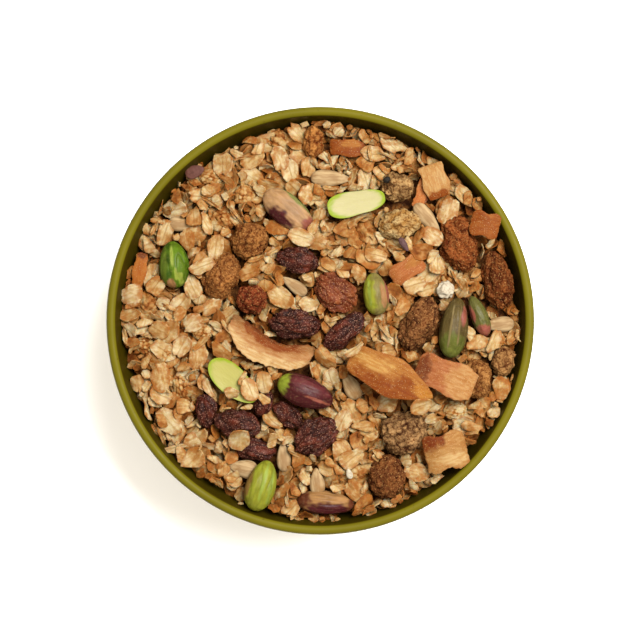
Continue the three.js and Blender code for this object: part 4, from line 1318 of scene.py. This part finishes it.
# Flakes that stuck together side by side, and stand in a row like fallen books.
ROWS = 60
ROW_PITCH = 1.25 * MM
ROW_ALLOWANCE = 2 * MM  # how far over the target a row's flakes may stand
ROW_LEANS = (42, 64)
ROW_LENGTHS = (3, 6)  # how many flakes; a row never has the second number
row_random = np.random.default_rng(13)
for _ in range(ROWS):
    start = pick(low_cells(1.5 * MM), row_random)[2]
    heading = row_random.uniform(0, 2 * math.pi)
    along = np.array([math.cos(heading), math.sin(heading)])
    spin = Matrix.Rotation(heading + math.pi / 2 + row_random.uniform(-0.2, 0.2), 3, "Z")
    lean = Matrix.Rotation(math.radians(row_random.uniform(*ROW_LEANS)), 3, Vector((along[1], -along[0], 0)))
    for position in range(int(row_random.integers(*ROW_LENGTHS))):
        kind = (pale_oats, toasted_oats)[row_random.integers(2)]
        shape = int(row_random.integers(len(kind.shapes)))
        stretch = row_random.uniform(0.75, 1, 3)
        settled = settle(kind, shape, start + position * ROW_PITCH * along, spin, lean, stretch, False)
        if settled is None:
            continue
        points, cells, middle, turn = settled
        over = (points[:, 2] - TARGET[cells]).max()
        if not topped[cells].any() and INSIDE[cells].all() and over <= ROW_ALLOWANCE:
            kind.lay(shape, points, middle, turn, stretch)

fill([pale_oats, pale_oats, toasted_oats, broken_oats, broken_oats], level=1.15 * MM, lying=(-30, 30),
     share_lying=0.74, allowance=2 * MM, most=3200, tries=3, seed=12)

# Flakes that lie on a topping: the place of each one's middle, and its yaw.
FLAKES_ON_TOPPINGS = [
    ((-22.9, -26.4), -52), ((-23.8, -17.6), 30), ((-21.2, -21), -70), ((-26, -21.6), 10), ((-2.6, 28.6), 60),
    ((-5.6, 25.4), -20), ((10.6, -8.4), 35), ((-24.6, -35.6), 80), ((-16.4, -24), -35), ((30.4, -25.6), 12),
    ((-35.6, 16.6), 20), ((6.8, 13.8), -60), ((29, 11), 15),
]
on_random = np.random.default_rng(41)
for (x, y), yaw in FLAKES_ON_TOPPINGS:
    spin = Matrix.Rotation(math.radians(yaw), 3, "Z")
    lean = Matrix.Rotation(math.radians(on_random.uniform(-8, 8)), 3, "X")
    kind = (pale_oats, broken_oats)[on_random.integers(2)]
    shape = int(on_random.integers(len(kind.shapes)))
    stretch = on_random.uniform(0.8, 1, 3)
    points, _, middle, turn = settle(kind, shape, (x * MM, y * MM), spin, lean, stretch, True, True)
    kind.lay(shape, points, middle, turn, stretch)

crumbs = Kind("oat_crumbs", CRUMB_SHAPES, 21, crumb)
crumb_random = np.random.default_rng(22)
for kind, tried, below, tilt, follow, allowance in (
    (crumbs, CRUMBS_TRIED, 0.4 * MM, (0, 60), False, 2.2 * MM),
    (oat_slivers, SLIVERS_TRIED, -0.2 * MM, (0, 35), True, 2.6 * MM),
):
    for _ in range(tried):
        place = pick(low_cells(below), crumb_random)[2]
        drop(kind, place, tilt, follow, allowance, tries=2, random=crumb_random, spread=0.2 * MM)

# ---- the seeds and other small bits ----
# Loose on the oats: a puffed white crumb, a sesame seed, two dark seeds, and a purple-brown scrap of
# pistachio skin.

# Each: the place of its middle, its yaw, its size, how lumpy it is and its colour.
BITS = [
    ((38, 9.4), 20, (5.6, 4.6, 3), 0.62, (238, 224, 196)),
    ((8.8, -46.5), 108, (3.2, 1.9, 1.1), 0.02, (236, 224, 196)),
    ((25.3, 23.1), -58, (4.8, 2, 1.6), 0.05, (116, 84, 84)),
    ((20.1, 42.6), 30, (2.3, 1.8, 1.4), 0.25, (44, 38, 30)),
    ((-38.3, 45.5), 20, (6, 3.8, 0.7), 0.1, (118, 72, 60)),
]


def bit_material():
    """The bits' own colours, a little mottled."""
    material, tree, place = new_finish("small_bits")
    mottle = between(tree, grain(tree, place, 1400, 4, 0.65), 0.36, 0.6)
    mottled = shaded(tree, mark_of(tree, "tone"), (0.7, 0.64, 0.58), mottle)
    return finished(material, mottled, 0.6, 0.08, (0.5, 0.15 * MM, grain(tree, place, 1800, 3)))


bits = []
for index, ((x, y), yaw, size, lumpy, colour) in enumerate(BITS):
    girth = 1 - 0.25 * seed_points[:, 0] * (lumpy < 0.2) + lumpy * smooth_noise(seed_points, 0.5, index)
    points = drawn_out(seed_points, size, girth)
    points = points @ np.array(Matrix.Rotation(math.radians(yaw), 3, "Z")).T + np.array([x * MM, y * MM, 0])
    points[:, 2] += np.quantile(relief[cells_of(points)] - points[:, 2], 0.9)
    bits.append((points, np.tile(rgb(*colour), (len(points), 1))))
    lay(points)
seeds_piece("seeds_and_bits", bits, bit_material(), "tone")

# How roasted each thing is: a range for its kind, and painted shade that darkens it more the deeper it lies.
DEPTH_SHADE = 0.32
DEEP = (0.8 * MM, 2.6 * MM)  # the painted shade grows between these depths under the heap's top
roast_random = np.random.default_rng(7)
oat_finish = oat_material()
for kind, low, high in (
    (pale_oats, -0.1, 0.32), (toasted_oats, 0.12, 0.72), (broken_oats, -0.1, 0.66), (oat_slivers, 0, 0.5),
    (clusters, 0, 0.3), (crumbs, 0, 0.75),
):
    for laid in kind.laid:
        depth = mound_height(*laid["at"][:2]) + OAT_COVER - laid["at"][2]
        # Painted shade: things deeper in the heap are marked more roasted.
        laid["roast"] = roast_random.uniform(low, high) + DEPTH_SHADE * float(step(depth, *DEEP))
    kind.into_piece(oat_finish)

# ---- the floor and the light ----
# A plain white floor, a broad soft lamp from the right and above, and a white room all round.

FLOOR_SIZE = 4.0
KEY_PLACE = (0.24, 0.2, 0.74)
KEY_SIZE = 0.36
KEY_POWER = 20.0
ROOM_LIGHT = 1.25

floor_mesh = bpy.data.meshes.new("floor")
corners = [(x * FLOOR_SIZE / 2, y * FLOOR_SIZE / 2, 0) for x, y in ((-1, -1), (1, -1), (1, 1), (-1, 1))]
floor_mesh.from_pydata(corners, [], [(0, 1, 2, 3)])
floor_mesh.materials.append(finished(new_finish("floor")[0], (0.97, 0.99, 1, 1), 0.9, 0.5))
new_object("floor", floor_mesh)

key_lamp = bpy.data.lights.new("key", "AREA")
key_lamp.size = KEY_SIZE
key_lamp.energy = KEY_POWER
key = new_object("key", key_lamp)
key.location = KEY_PLACE
key.rotation_euler = (Vector((0, 0, LIP_TOP)) - Vector(KEY_PLACE)).to_track_quat("-Z", "Y").to_euler()

room = bpy.data.worlds.new("room")
room.use_nodes = True
background = room.node_tree.nodes["Background"].inputs
background["Strength"].default_value = ROOM_LIGHT
background["Color"].default_value = (1, 0.91, 0.79, 1)
bpy.context.scene.world = room
bpy.context.scene.view_settings.view_transform = "Standard"
